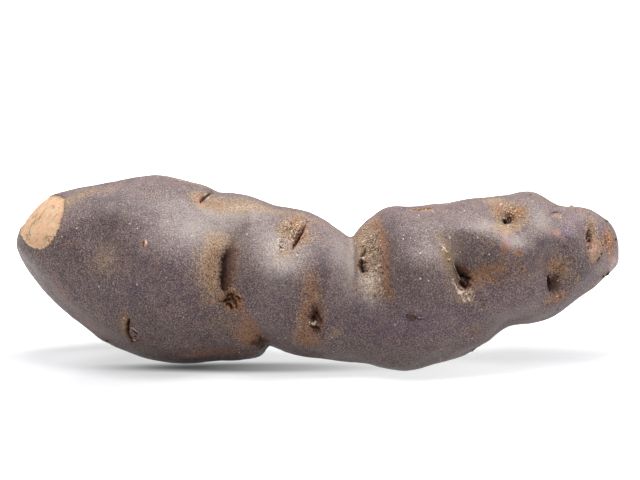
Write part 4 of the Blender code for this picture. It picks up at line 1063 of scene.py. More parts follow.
def broad_colours(k):
    """The wide tan, rusty and pale areas of the skin on the front, with painted highlights, partly pale dust, and
    painted shade.
    """
    # stem lobe
    k.trail("tan", line((66.0, 203.0), (80.0, 195.0), (100.0, 190.0), (124.0, 185.0)), 2.0, (0.7, 0.6, 0.45, 0.3), 0.4)
    k.trail("tan", line((66.0, 212.0), (60.0, 228.0), (48.0, 245.0)), 1.2, (0.35, 0.3, 0.4), 0.4)
    k.stain("tan", px(104.0, 261.0), 2.6, 3.2, 0, 0.5)
    k.stain("olive", px(104.0, 258.0), 2.8, 3.2, 0, 0.3)
    k.stain("tan", px(186.0, 180.0), 4.4, 1.6, -10, 0.5)
    k.stain("tan", px(150.0, 192.0), 5.0, 2.0, 0, 0.25)
    k.trail("tan", line((196.0, 196.0), (214.0, 205.0), (238.0, 206.0), (262.0, 208.0), (280.0, 212.0)), 2.6, (0.5, 0.75, 0.85, 0.6, 0.4), 0.45)
    # painted highlights on the shoulder and on top of the stem lobe, partly pale dust
    k.trail("bloom_and_highlight", line((212.0, 210.0), (236.0, 210.0), (258.0, 212.0)), 2.2, (0.6, 0.65, 0.4), 0.5)
    k.trail("rust", line((212.0, 200.0), (236.0, 203.0), (256.0, 206.0)), 1.4, (0.3, 0.3, 0.2), 0.5)
    k.stain("bloom_and_highlight", px(192.0, 228.0), 6.5, 4.6, 10, 0.62)
    k.stain("bloom_and_highlight", px(228.0, 214.0), 6.0, 3.0, 0, 0.7)
    k.stain("pale", px(238.0, 208.0), 4.6, 1.8, 0, 0.27)
    k.stain("bloom_and_highlight", px(168.0, 205.0), 5.0, 2.6, -10, 0.45)
    # painted shade on the upper left and the middle of the stem lobe
    k.stain("shade", px(104.0, 222.0), 7.5, 3.0, 14, 0.6)
    k.stain("shade", px(112.0, 198.0), 4.0, 1.8, 5, 0.6)
    k.stain("shade", px(146.0, 258.0), 5.0, 2.2, 0, 0.35)
    k.stain("tan", px(176.0, 312.0), 3.0, 3.0, 0, 0.25)
    k.stain("tan", px(124.0, 274.0), 4.0, 3.0, 0, 0.22)
    k.stain("tan", px(98.0, 316.0), 5.0, 4.0, -30, 0.18)
    # painted light on the lower sides of the stem lobe and the fourth lobe, partly pale dust
    k.stain("bloom_and_highlight", px(96.0, 320.0), 6.0, 3.6, -35, 0.20)
    k.stain("bloom_and_highlight", px(512.0, 312.0), 6.0, 2.6, 15, 0.14)
    k.stain("tan", px(506.0, 308.0), 4.0, 2.6, -20, 0.2)
    k.stain("rust", px(214.0, 352.0), 9.0, 1.6, -2, 0.6)
    k.stain("tan", px(180.0, 345.0), 7.0, 1.8, 0, 0.35)
    k.stain("tan", px(226.0, 322.0), 3.5, 3.5, 0, 0.4)
    k.stain("rust", px(244.0, 330.0), 4.0, 3.0, -30, 0.45)
    k.stain("pink", px(88.0, 324.0), 4.0, 2.6, -40, 0.12)
    k.stain("pink", px(60.0, 290.0), 3.0, 2.0, -50, 0.14)
    k.stain("violet", px(128.0, 282.0), 7.0, 4.0, 0, 0.10)
    k.stain("violet", px(180.0, 290.0), 5.0, 4.0, 0, 0.07)
    # second lobe
    k.stain("tan", px(300.0, 214.0), 5.0, 1.4, -12, 0.5)
    k.stain("tan", px(322.0, 223.0), 4.0, 1.3, -30, 0.4)
    # painted highlights on the two crests of the second lobe, partly pale dust, and painted shade in the groove between
    # them
    k.stain("bloom_and_highlight", px(284.0, 257.0), 3.6, 4.0, 0, 0.85)
    k.stain("bloom_and_highlight", px(276.0, 247.0), 2.8, 4.0, 0, 0.85)
    k.stain("pale", px(277.0, 247.0), 2.0, 3.0, 0, 0.27)
    k.stain("bloom_and_highlight", px(262.0, 232.0), 2.2, 4.0, 0, 0.35)
    k.stain("bloom_and_highlight", px(342.0, 256.0), 2.2, 5.6, 0, 0.4)
    k.stain("bloom_and_highlight", px(350.0, 262.0), 1.6, 5.0, 0, 0.75)
    k.stain("shade", px(322.0, 268.0), 2.4, 5.0, 0, 0.45)
    k.stain("violet", px(270.0, 312.0), 6.0, 4.0, 0, 0.11)
    k.stain("violet", px(345.0, 320.0), 4.0, 4.0, 0, 0.11)
    # waist
    # painted highlight on the waist, partly pale dust
    k.stain("bloom_and_highlight", px(366.0, 262.0), 3.2, 7.0, 0, 0.7)
    k.stain("bloom_and_highlight", px(376.0, 290.0), 2.6, 3.4, 0, 0.6)
    k.stain("tan", px(366.0, 226.0), 3.0, 1.6, 35, 0.8)
    k.stain("rust", px(376.0, 220.0), 3.0, 1.2, 35, 0.6)
    # third lobe
    k.stain("tan", px(432.0, 204.0), 8.0, 1.4, 5, 0.45)
    k.stain("tan", px(495.0, 200.0), 2.6, 1.6, 0, 0.6)
    # painted highlight on the third lobe, and painted shade below it and along its left edge
    k.stain("bloom_and_highlight", px(430.0, 255.0), 3.6, 2.6, 0, 0.35)
    k.stain("shade", px(418.0, 288.0), 6.0, 3.4, 0, 0.3)
    k.stain("shade", px(395.0, 262.0), 1.0, 6.0, 0, 0.5)
    k.stain("violet", px(430.0, 325.0), 9.0, 4.6, 0, 0.16)
    k.stain("violet", px(385.0, 330.0), 5.0, 4.0, 0, 0.14)
    # fourth lobe and rose end
    # painted highlights on the fourth lobe, partly pale dust, and painted shade between its eyes
    k.stain("bloom_and_highlight", px(488.0, 226.0), 3.4, 1.8, 15, 0.6)
    k.stain("bloom_and_highlight", px(513.0, 240.0), 2.6, 2.2, 0, 0.6)
    k.stain("bloom_and_highlight", px(541.0, 220.0), 2.4, 3.6, 0, 0.5)
    k.stain("tan", px(410.0, 268.0), 3.4, 4.4, 0, 0.16)
    k.stain("shade", px(535.0, 260.0), 3.2, 3.2, 0, 0.42)
    k.stain("shade", px(542.0, 246.0), 3.4, 2.4, 0, 0.5)
    k.stain("violet", px(515.0, 300.0), 7.0, 4.0, 0, 0.14)
    k.stain("violet", px(580.0, 225.0), 3.0, 3.0, 0, 0.16)
    # painted highlight on the rose end
    k.stain("bloom_and_highlight", px(606.0, 250.0), 2.0, 4.0, 0, 0.4)
    k.stain("rust", px(500.0, 276.0), 7.0, 2.4, 0, 0.35)
    k.stain("tan", px(448.0, 262.0), 1.8, 5.0, 10, 0.45)


def make_back_eye(k, x, turn, tilt, size, depth, halo, seed):
    """An eye of the same kind as those in the photograph, on a side that it doesn't show."""
    rng = np.random.default_rng(seed)
    place = around(x, turn)
    m, a, b = tangents(place, tilt)
    spots = [onto_body((place + size * (s * a + t * b))[None])[0] for s, t in ((0.1, 1.7), (-0.12, 0.8), (0.0, 0.0), (0.18, -0.8), (0.5, -1.5))]
    k.dab(place, 1.9 * size, 2.2 * size, tilt, -0.35 * depth)
    k.cut(spots, 0.34 * size, (0.2 * depth, 0.8 * depth, depth, 0.8 * depth, 0.2 * depth), jitter=0.1, right=0.5 * size)
    brow = [q - a * 0.95 * size for q in spots]
    k.cut([onto_body(q[None])[0] for q in brow], 0.6 * size, (-0.02, -0.2, -0.28, -0.2, -0.02))
    bud = onto_body((place + a * 0.5 * size - b * 0.1 * size)[None])[0]
    k.dab(bud, 0.4 * size, 0.34 * size, 0, 0.3 * depth)
    # painted shade in the slit: dark brown down its walls and near black inside
    k.trail("umber_and_hollow_shade", spots, 0.7 * size, (0.3, 0.8, 0.9, 0.8, 0.3), 0.3, right=1.0 * size, fray=0.12)
    k.trail("pit_shade_and_dark_marks", spots, 0.3 * size, (0.5, 0.9, 1.0, 0.9, 0.5), 0.25, right=0.42 * size, fray=0.08)
    k.stain("scurf", place, 2.4 * size, 2.4 * size, tilt, 0.8 * halo)
    k.crumbs(place, 1.9 * size, 2.3 * size, tilt, 36, seed + 100, 0.13, 0.11, ("pale", "umber_and_hollow_shade", "pit_shade_and_dark_marks", "tan", "rust"))
    if seed % 3 != 1:
        fork = [onto_body((place + size * (s * a + t * b))[None])[0] for s, t in ((0.2, -0.1), (0.9, 0.3), (1.6, 0.35))]
        k.slit(fork, 0.13 * size + 0.03, (0.45 * depth, 0.4 * depth, 0.1), rim=0.5, fray=0.1)
    if seed % 2:
        k.hole(onto_body((place + size * (0.75 * a - 0.85 * b))[None])[0], 0.26 * size, 0.2 * size, tilt, 0.3, 0.9)
    k.stain(("pink", "pale", "tan", "olive")[seed % 4], bud, 0.34 * size, 0.3 * size, 0, 0.9, 0.15)
    k.stain("ochre", place, 1.3 * size, 1.6 * size, tilt, 0.3 * halo)
    k.stain("tan", onto_body((place + a * rng.uniform(0.3, 1.2))[None])[0], 2.6 * size, 2.4 * size, rng.uniform(-40, 40), halo)
    k.stain("rust", onto_body((place - a * rng.uniform(0.2, 1.0))[None])[0], 1.5 * size, 1.9 * size, rng.uniform(-40, 40), halo * 0.7)
    fine(place, 3.2 * size, 1.5 * size)


BACK_EYES = (
    # x, turn, tilt, size, depth, halo
    (-41.0, 158, -12, 0.9, 0.7, 0.6),
    (-25.0, 216, 18, 1.0, 0.9, 0.8),
    (-29.0, 118, 55, 0.8, 0.6, 0.5),
    (-13.0, 168, 8, 1.1, 1.1, 0.9),
    (-3.5, 206, -20, 1.0, 0.8, 0.7),
    (-8.5, 122, 30, 0.8, 0.6, 0.6),
    (8.6, 150, 5, 1.0, 0.9, 0.8),
    (19.5, 208, 15, 0.9, 0.8, 0.7),
    (22.5, 122, 40, 0.8, 0.6, 0.6),
    (28.8, 168, 14, 1.2, 1.2, 0.9),
    (37.5, 214, -25, 0.9, 0.8, 0.6),
    (41.5, 132, 20, 0.9, 0.8, 0.8),
    (48.6, 172, 0, 0.9, 0.8, 0.9),
    (53.6, 214, 25, 0.8, 0.6, 0.7),
    (54.5, 128, 0, 0.8, 0.6, 0.7),
    (-42.0, -68, -30, 0.8, 0.6, 0.5),
    (4.0, -96, 10, 0.9, 0.7, 0.6),
    (31.5, -78, 20, 1.0, 0.9, 0.7),
    (45.5, -104, 0, 0.8, 0.7, 0.7),
)


def carve_rest(k):
    """The back, top, underside and rose end: eyes, stains and marks of the same kinds, and clouds of painted highlight
    and painted shade.
    """
    for i, (x, turn, tilt, size, depth, halo) in enumerate(BACK_EYES):
        make_back_eye(k, x, turn, tilt, size, depth, halo, i + 1)
    rng = np.random.default_rng(21)
    for x in np.linspace(-50, 56, 30):
        turn = rng.uniform(75, 285)
        name = ("tan", "rust", "tan", "pale", "rust", "olive", "tan")[rng.integers(7)]
        k.stain(name, around(x + rng.normal(0, 2), turn), rng.uniform(1.2, 4.5), rng.uniform(0.8, 2.6), rng.uniform(-60, 60), rng.uniform(0.2, 0.5), 0.5)
    # clouds of painted highlight and painted shade, and a violet tint, at random over the back, top and underside
    for x in np.linspace(-46, 54, 26):
        name = ("bloom_and_highlight", "shade", "violet")[rng.integers(3)]
        strong = {"bloom_and_highlight": 0.42, "shade": 0.40, "violet": 0.13}[name]
        k.stain(name, around(x + rng.normal(0, 2), rng.uniform(75, 285)), rng.uniform(3.0, 7.0), rng.uniform(2.0, 4.5), rng.uniform(-60, 60), strong * rng.uniform(0.6, 1.0), 0.45)
    # dusting in the waists, where the skin is stretched
    k.trail("tan", [around(-14.5, 110), around(-16.5, 140), around(-17.5, 170), around(-16.5, 200), around(-14, 230)], 2.4, (0.3, 0.5, 0.6, 0.5, 0.3), 0.5)
    k.trail("tan", [around(8.0, 100), around(8.5, 130), around(8.5, 160), around(8.0, 190), around(8, 220)], 2.2, (0.6, 0.6, 0.6, 0.5, 0.3), 0.5)
    k.trail("rust", [around(12.0, 105), around(12.5, 135), around(12.0, 165), around(11.5, 195)], 1.6, (0.5, 0.6, 0.5, 0.3), 0.5)
    k.trail("tan", [around(28.0, 120), around(29.0, 150), around(28.5, 180), around(27.5, 210)], 1.8, (0.3, 0.5, 0.5, 0.3), 0.5)
    k.stain("rust", around(59.0, 150), 2.0, 3.0, 0, 0.6)
    k.stain("rust", around(58.5, 220), 1.8, 3.0, 0, 0.5)
    # scabs and nicks
    for _ in range(9):
        x, turn = rng.uniform(-48, 50), rng.uniform(80, 280)
        q, tilt, s = around(x, turn), rng.uniform(-90, 90), rng.uniform(0.4, 0.9)
        k.dab(q, s, s * 0.55, tilt, 0.12, 4)
        k.stain("rust", q, s, s * 0.55, tilt, 0.9, 0.2, 3)
        k.stain("pit_shade_and_dark_marks", q, s * 0.7, s * 0.25, tilt, 0.6, 0.3)
        fine(q, 1.4)
    # crumbs of soil
    for _ in range(14):
        x, turn = rng.uniform(30, 59), rng.uniform(70, 290)
        q, tilt, s = around(x, turn), rng.uniform(-90, 90), rng.uniform(0.2, 0.45)
        k.dab(q, s, s * 0.55, tilt, rng.uniform(0.15, 0.35), 3)
        k.stain("pit_shade_and_dark_marks", q, s * 1.1, s * 0.6, tilt, 1.0, 0.1, 3)
        fine(q, 1.0)


SCAR_OUTLINE = (
    (65.0, 199.0), (63.6, 210.0), (60.4, 222.0), (55.4, 234.0), (48.0, 243.6), (39.6, 248.6), (31.0, 247.0), (24.6, 241.0),
    (20.0, 232.0), (21.6, 221.0), (27.6, 210.6), (36.6, 202.6), (46.6, 197.4), (57.0, 195.4),
)  # pixels of the photograph


def cork_scar(k, out):
    """How far places lie inside the edge of the bare corky scar, and how far they stand off it."""
    m, a, b = SCAR_FACING, *np.linalg.svd(SCAR_FACING[None])[2][1:]
    corners = np.array([on_scar(x, y) for x, y in SCAR_OUTLINE])
    u, v = corners @ a, corners @ b
    near = np.where((np.linalg.norm(out - SCAR_CROWN, axis=1) < 12) & (k.n @ m > 0.2))[0]
    s, t = out[near] @ a, out[near] @ b
    inside = np.zeros(len(near), bool)
    gap = np.full(len(near), 1e9)
    for i in range(len(u)):
        p, q, p2, q2 = u[i - 1], v[i - 1], u[i], v[i]
        crosses = (q > t) != (q2 > t)
        inside ^= crosses & (s < p + (t - q) * (p2 - p) / (q2 - q + 1e-12))
        along = np.clip(((s - p) * (p2 - p) + (t - q) * (q2 - q)) / ((p2 - p) ** 2 + (q2 - q) ** 2), 0, 1)
        gap = np.minimum(gap, np.hypot(s - p - along * (p2 - p), t - q - along * (q2 - q)))
    depth = np.full(len(out), -9.0)
    depth[near] = np.where(inside, gap, -gap) + 0.10 * lumps(out[near], 1.3, 43) + 0.04 * lumps(out[near], 0.4, 44)
    return depth


def finest(p):
    """How often the cells at a place are halved."""
    level = np.zeros(len(p), int)
    for place, half, quarter in FINE:
        d = np.linalg.norm(p - place, axis=1)
        level = np.maximum(level, np.where(d < half, 1, 0))
        level = np.maximum(level, np.where(d < quarter, 2, 0))
    return level


def plan_fine_cells():
    for x, y, half, quarter in (
        (144.6, 243.3, 1.4, 0.8), (206.5, 197.5, 2.8, 1.7), (209.5, 194.5, 2.6, 1.6), (129.5, 331.0, 3.4, 2.4),
        (233.0, 301.0, 3.4, 2.3), (216.0, 298.0, 2.0, 0.0), (223.0, 256.0, 3.0, 1.2), (219.6, 270.0, 3.0, 1.4),
        (220.0, 284.0, 3.0, 1.4), (226.0, 246.0, 2.4, 0.0), (262.0, 342.0, 3.0, 0.0),
        (299.0, 237.0, 4.4, 2.6), (297.0, 226.0, 3.4, 1.2), (316.0, 319.0, 3.8, 2.5), (324.0, 327.0, 2.0, 1.0),
        (363.0, 262.0, 4.0, 2.5), (369.0, 248.0, 2.4, 1.6), (354.0, 280.0, 2.4, 0.0),
        (416.0, 208.6, 1.8, 1.0), (427.0, 208.0, 1.8, 1.0), (475.5, 213.5, 1.6, 1.2), (413.0, 317.0, 2.2, 1.4),
        (421.0, 319.0, 1.2, 0.6), (461.0, 275.0, 4.8, 2.6), (464.0, 287.0, 3.2, 2.0), (447.0, 252.0, 2.6, 1.4),
        (507.5, 219.5, 3.0, 1.9), (522.3, 268.6, 1.2, 0.7), (556.0, 213.6, 1.8, 1.2), (566.4, 229.6, 2.0, 1.6),
        (550.5, 283.0, 3.2, 2.3), (589.0, 237.5, 3.6, 2.2), (606.0, 222.6, 1.3, 0.9), (616.0, 241.0, 1.2, 0.8),
        (606.4, 275.6, 1.8, 1.3), (599.6, 257.0, 1.4, 0.9), (557.5, 309.6, 1.0, 0.6),
    ):
        fine(px(x, y), half, quarter)


def make_skin_points(unit):
    smooth = body(unit)
    k = Skin(smooth)
    carve_front(k)
    broad_colours(k)
    carve_rest(k)
    # fine unevenness
    k.height += k.paint["scurf"] * (0.08 * lumps(smooth, 0.75, 34) + 0.06 * lumps(smooth, 0.38, 35))
    k.height += 0.09 * lumps(smooth, 5.0, 31) + 0.05 * lumps(smooth, 2.6, 32) + 0.025 * lumps(smooth, 1.3, 33)
    out = smooth + k.n * k.height[:, None]
    out = settle(out)
    depth = cork_scar(k, out)
    bare = smoothstep(-0.10, 0.12, depth)
    lip = np.exp(-(((depth + 0.22) / 0.22) ** 2))
    uneven = 0.16 * lumps(out, 2.6, 40) + 0.10 * lumps(out, 1.2, 41) + 0.06 * lumps(out, 0.6, 42)
    out = out + (bare * (uneven - 0.26) + 0.06 * lip)[:, None] * SCAR_FACING
    out[:, 2] = np.maximum(out[:, 2], 0.0)
    k.paint["scar"] = bare
    rim = np.exp(-(((depth + 0.12) / 0.20) ** 2))
    k.paint["umber_and_hollow_shade"] = np.maximum(k.paint["umber_and_hollow_shade"], 0.55 * rim)
    k.paint["scarmark"] = bare * np.clip(1.3 * np.exp(-((np.maximum(0.0, np.abs(lumps(out, 2.3, 45)) - 0.02) / 0.05) ** 2)) * smoothstep(0.0, 0.5, lumps(out, 3.4, 46) + 0.25) + 0.35 * np.exp(-((np.maximum(0.0, depth) / 0.7) ** 2)), 0, 1)
    return out, k.paint


def make_tuber():
    plan_fine_cells()
    probe = Skin(body(np.array([[1.0, 0.0, 0.0], [-1.0, 0.0, 0.0]])))
    carve_rest(probe)  # lists the fine cells of the eyes that the photograph doesn't show
    bm = bmesh.new()
    divided_block(bm, AROUND, RINGS)
    place_all(bm, sphere_of_block(positions(bm)))
    for level in (1, 2):
        centres = np.array([f.calc_center_median() for f in bm.faces])
        centres /= np.linalg.norm(centres, axis=1)[:, None]
        wanted = finest(body(centres)) >= level
        bm.faces.ensure_lookup_table()
        edges = {e for i in np.nonzero(wanted)[0] for e in bm.faces[i].edges}
        bmesh.ops.subdivide_edges(bm, edges=sorted(edges, key=lambda e: e.index), cuts=1, use_grid_fill=True)
        bm.verts.index_update()
        bm.edges.index_update()
        bm.faces.index_update()
    bmesh.ops.triangulate(bm, faces=[f for f in bm.faces if len(f.verts) > 4])
    unit = positions(bm)
    unit /= np.linalg.norm(unit, axis=1)[:, None]
    points, paint = make_skin_points(unit)
    place_all(bm, (points + np.array(STAND)) * MM)
    bmesh.ops.recalc_face_normals(bm, faces=bm.faces)
    mesh = bpy.data.meshes.new("potato_skin")
    bm.to_mesh(mesh)
    bm.free()
    mesh.shade_smooth()
    for name, values in paint.items():
        layer = mesh.attributes.new(name, "FLOAT", "POINT")
        layer.data.foreach_set("value", values.astype(np.float32))
    tuber = bpy.data.objects.new("potato_skin", mesh)
    bpy.context.scene.collection.objects.link(tuber)
    return tuber


# ======== material ========


class Nodes:
    """Short names for building a node tree."""

    def __init__(self, tree):
        self.tree = tree
        self.made = {}

    def node(self, kind, **settings):
        n = self.tree.nodes.new(kind)
        for name, value in settings.items():
            setattr(n, name, value)
        return n

    def link(self, a, b):
        self.tree.links.new(a, b)

    def put(self, socket, value):
        if isinstance(value, bpy.types.NodeSocket):
            self.link(value, socket)
        else:
            socket.default_value = value

    def math(self, operation, a, b=0.0, c=0.0, clamp=False):
        n = self.node("ShaderNodeMath", operation=operation, use_clamp=clamp)
        for socket, value in zip(n.inputs, (a, b, c)):
            self.put(socket, value)
        return n.outputs[0]

    def mix(self, factor, a, b, blend="MIX"):
        n = self.node("ShaderNodeMix", data_type="RGBA", blend_type=blend, clamp_factor=True)
        self.put(n.inputs[0], factor)
        for socket, value in ((n.inputs[6], a), (n.inputs[7], b)):
            if isinstance(value, tuple):
                value = (*value, 1.0)
            self.put(socket, value)
        return n.outputs[2]

    def attribute(self, name):
        if name not in self.made:
            self.made[name] = self.node("ShaderNodeAttribute", attribute_name=name).outputs["Fac"]
        return self.made[name]

    def noise(self, place, scale, detail=2.0, roughness=0.5):
        n = self.node("ShaderNodeTexNoise")
        self.link(place, n.inputs["Vector"])
        n.inputs["Scale"].default_value = scale
        n.inputs["Detail"].default_value = detail
        n.inputs["Roughness"].default_value = roughness
        return n.outputs["Fac"]

    def ramp(self, value, low, high, to_low=0.0, to_high=1.0):
        n = self.node("ShaderNodeMapRange", interpolation_type="SMOOTHSTEP")
        self.put(n.inputs["Value"], value)
        n.inputs["From Min"].default_value = low
        n.inputs["From Max"].default_value = high
        n.inputs["To Min"].default_value = to_low
        n.inputs["To Max"].default_value = to_high
        return n.outputs["Result"]


BASE = (0.104, 0.069, 0.065)
BASE_DARK = (0.022, 0.012, 0.013)
BASE_DEEP = (0.066, 0.042, 0.044)
BASE_LIGHT = (0.240, 0.182, 0.170)
BASE_WARM = (0.135, 0.086, 0.066)
BASE_COOL = (0.062, 0.044, 0.052)
CLOUD = (0.122, 0.089, 0.081)
TAN = (0.190, 0.127, 0.078)
TAN_DARK = (0.088, 0.052, 0.030)
TAN_LIGHT = (0.430, 0.320, 0.220)
RUST = (0.200, 0.103, 0.058)
RUST_DARK = (0.080, 0.036, 0.021)
OCHRE = (0.330, 0.150, 0.062)
PIT_SHADE_AND_DARK_MARK = (0.014, 0.0040, 0.0022)
UMBER_AND_HOLLOW_SHADE = (0.042, 0.0155, 0.0075)
OLIVE = (0.074, 0.053, 0.031)
PALE = (0.50, 0.415, 0.345)
CREAM = (0.52, 0.41, 0.30)
PINK = (0.36, 0.17, 0.13)
VIOLET = (0.085, 0.034, 0.108)
BLOOM_AND_HIGHLIGHT = (0.245, 0.208, 0.190)
SHADE = (0.034, 0.023, 0.027)
SCAR_LIGHT = (0.405, 0.283, 0.178)
SCAR_PALE = (0.575, 0.46, 0.33)
SCAR_WARM = (0.42, 0.25, 0.15)
SCAR_DARK = (0.27, 0.15, 0.075)
SCAR_MARK = (0.16, 0.078, 0.036)


def skin_material():
    material = bpy.data.materials.new("potato_skin")
    material.use_nodes = True
    k = Nodes(material.node_tree)
    shader = material.node_tree.nodes["Principled BSDF"]
    where = k.node("ShaderNodeTexCoord").outputs["Object"]
    scaled = k.node("ShaderNodeVectorMath", operation="SCALE")
    k.link(where, scaled.inputs[0])
    scaled.inputs["Scale"].default_value = 1000.0
    mm = scaled.outputs[0]

    shifted = k.node("ShaderNodeVectorMath", operation="ADD")
    k.link(mm, shifted.inputs[0])
    shifted.inputs[1].default_value = (31.3, 17.7, 5.9)
    grain = k.noise(mm, 4.4, 2.0, 0.6)  # fine corky grain
    grit = k.noise(shifted.outputs[0], 2.9, 2.0, 0.6)  # coarser specks
    mottle = k.noise(mm, 0.42, 3.0, 0.55)
    cloud = k.noise(mm, 0.11, 2.0, 0.5)

    # the purple-grey ground, mottled at several sizes, here browner and there cooler
    tone = k.noise(shifted.outputs[0], 0.75, 3.0, 0.6)
    ground = k.mix(k.ramp(mottle, 0.36, 0.64), BASE_DEEP, BASE)
    ground = k.mix(k.ramp(tone, 0.50, 0.66, 0.0, 0.75), ground, BASE_WARM)
    ground = k.mix(k.ramp(tone, 0.50, 0.34, 0.0, 0.75), ground, BASE_COOL)
    ground = k.mix(k.math("MULTIPLY", k.ramp(cloud, 0.42, 0.66), 0.45), ground, CLOUD)
    ground = k.mix(k.ramp(grain, 0.52, 0.70), ground, BASE_LIGHT)
    ground = k.mix(k.ramp(grain, 0.50, 0.34), ground, BASE_DARK)
    ground = k.mix(k.ramp(grit, 0.58, 0.72, 0.0, 0.35), ground, BASE_LIGHT)
    ground = k.mix(k.ramp(grit, 0.46, 0.32, 0.0, 0.75), ground, BASE_DARK)

    # stains: each shows first where the grain is strongest, so that its edge breaks up into flecks
    both = k.math("ADD", k.math("MULTIPLY", grain, 0.5), k.math("MULTIPLY", grit, 0.5))

    def grainy(name, most=0.95, spread=1.3):
        value = k.math("ADD", k.attribute(name), k.math("MULTIPLY", k.math("SUBTRACT", both, 0.5), spread))
        return k.math("MULTIPLY", k.ramp(value, 0.12, 0.80), most)

    sand = k.mix(k.ramp(both, 0.36, 0.52), TAN_DARK, TAN)
    sand = k.mix(k.ramp(grain, 0.54, 0.72, 0.0, 0.75), sand, TAN_LIGHT)
    earth = k.mix(k.ramp(both, 0.38, 0.56), RUST_DARK, RUST)
    earth = k.mix(k.ramp(grain, 0.58, 0.76, 0.0, 0.45), earth, TAN_LIGHT)
    colour = ground
    # painted highlight, partly a pale dusty bloom, and painted shade, broken up by the grain and the mottles
    colour = k.mix(k.math("MULTIPLY", k.attribute("bloom_and_highlight"), k.ramp(grain, 0.30, 0.60, 0.45, 0.95)), colour, BLOOM_AND_HIGHLIGHT)
    colour = k.mix(k.math("MULTIPLY", k.attribute("shade"), k.ramp(mottle, 0.62, 0.40, 0.35, 0.95)), colour, SHADE)
    colour = k.mix(grainy("tan"), colour, sand)
    colour = k.mix(grainy("rust"), colour, earth)
    colour = k.mix(grainy("ochre"), colour, OCHRE)
    colour = k.mix(k.math("MULTIPLY", k.attribute("olive"), 0.75), colour, OLIVE)
    colour = k.mix(k.math("MULTIPLY", k.attribute("violet"), 0.85), colour, VIOLET)

    # a thin scatter of tan grain everywhere, more in some clouds than others
    scatter = k.ramp(k.math("ADD", k.math("ADD", k.math("MULTIPLY", grain, 0.5), k.math("MULTIPLY", grit, 0.5)), k.math("MULTIPLY", k.math("SUBTRACT", cloud, 0.5), 0.35)), 0.60, 0.72, 0.0, 0.10)
    colour = k.mix(scatter, colour, TAN_LIGHT)

    # dark brown: brown skin, and painted shade in slits, pits and creases
    colour = k.mix(k.ramp(k.math("ADD", k.attribute("umber_and_hollow_shade"), k.math("MULTIPLY", k.math("SUBTRACT", 0.5, both), 1.1)), 0.15, 0.85), colour, UMBER_AND_HOLLOW_SHADE)

    # rough scurf: dark specks and pale crumbs
    scurf = k.attribute("scurf")
    colour = k.mix(k.math("MULTIPLY", scurf, k.ramp(grit, 0.50, 0.40, 0.0, 0.9)), colour, UMBER_AND_HOLLOW_SHADE)
    colour = k.mix(k.math("MULTIPLY", scurf, k.math("MULTIPLY", k.ramp(k.math("ADD", k.math("MULTIPLY", grain, 0.7), k.math("MULTIPLY", grit, 0.3)), 0.55, 0.66, 0.0, 0.65), k.math("SUBTRACT", 1.0, k.math("MULTIPLY", k.attribute("umber_and_hollow_shade"), 0.75)))), colour, CREAM)

    colour = k.mix(k.math("MULTIPLY", k.attribute("pink"), 0.85), colour, PINK)
    colour = k.mix(grainy("pale", 0.9), colour, PALE)

    # lenticels: small pale dots
    dots = k.node("ShaderNodeTexVoronoi", feature="F1")
    k.link(mm, dots.inputs["Vector"])
    dots.inputs["Scale"].default_value = 0.66
    chosen = k.node("ShaderNodeSeparateColor")
    k.link(dots.outputs["Color"], chosen.inputs[0])
    size = k.ramp(chosen.outputs[0], 0.55, 1.0, 0.0, 0.11)
    dot = k.ramp(k.math("SUBTRACT", dots.outputs["Distance"], size), 0.04, -0.02)
    dot = k.math("MULTIPLY", dot, k.math("SUBTRACT", 1.0, k.attribute("scar")), clamp=True)
    colour = k.mix(k.math("MULTIPLY", dot, 0.85), colour, PALE)

    # painted shade: slits and pits near black inside; also dark soil crumbs and scab marks
    colour = k.mix(k.ramp(k.attribute("pit_shade_and_dark_marks"), 0.18, 0.62), colour, PIT_SHADE_AND_DARK_MARK)

    # the corky scar
    cork = k.mix(k.ramp(k.noise(mm, 0.5, 4.0, 0.65), 0.38, 0.62), SCAR_WARM, SCAR_LIGHT)
    cork = k.mix(k.ramp(k.noise(mm, 1.4, 3.0, 0.6), 0.46, 0.30, 0.0, 0.8), cork, SCAR_DARK)
    cork = k.mix(k.ramp(grain, 0.44, 0.28, 0.0, 0.5), cork, SCAR_DARK)
    cork = k.mix(k.ramp(grit, 0.56, 0.70, 0.0, 0.5), cork, SCAR_PALE)
    cork = k.mix(k.math("MULTIPLY", k.attribute("scarmark"), k.ramp(both, 0.62, 0.42, 0.3, 0.9)), cork, SCAR_MARK)
    colour = k.mix(k.ramp(k.attribute("scar"), 0.25, 0.6), colour, cork)
    k.link(colour, shader.inputs["Base Color"])

    # gloss: the purple skin is slightly waxy, the dusting and the scar are dry
    dry = k.math("MAXIMUM", k.math("MAXIMUM", k.attribute("tan"), k.attribute("rust")), k.math("MAXIMUM", k.attribute("scar"), k.attribute("pit_shade_and_dark_marks")))
    rough = k.math("ADD", 0.40, k.math("MULTIPLY", grain, 0.16))
    rough = k.math("ADD", rough, k.math("MULTIPLY", dry, 0.35), clamp=True)
    k.link(rough, shader.inputs["Roughness"])
    shader.inputs["Specular IOR Level"].default_value = 0.24
    shader.inputs["Metallic"].default_value = 0.0
    shader.inputs["Sheen Weight"].default_value = 0.0

    # relief too fine for the mesh
    def relief(height, distance, under=None):
        bump = k.node("ShaderNodeBump")
        bump.inputs["Strength"].default_value = 1.0
        bump.inputs["Distance"].default_value = distance * MM
        k.link(height, bump.inputs["Height"])
        if under is not None:
            k.link(under, bump.inputs["Normal"])
        return bump.outputs[0]

    lifted = k.math("MULTIPLY", grit, k.math("ADD", 0.12, k.math("MULTIPLY", scurf, 0.5)))
    normal = relief(grain, 0.12)
    normal = relief(lifted, 0.45, normal)
    normal = relief(dot, 0.05, normal)
    k.link(normal, shader.inputs["Normal"])
    return material


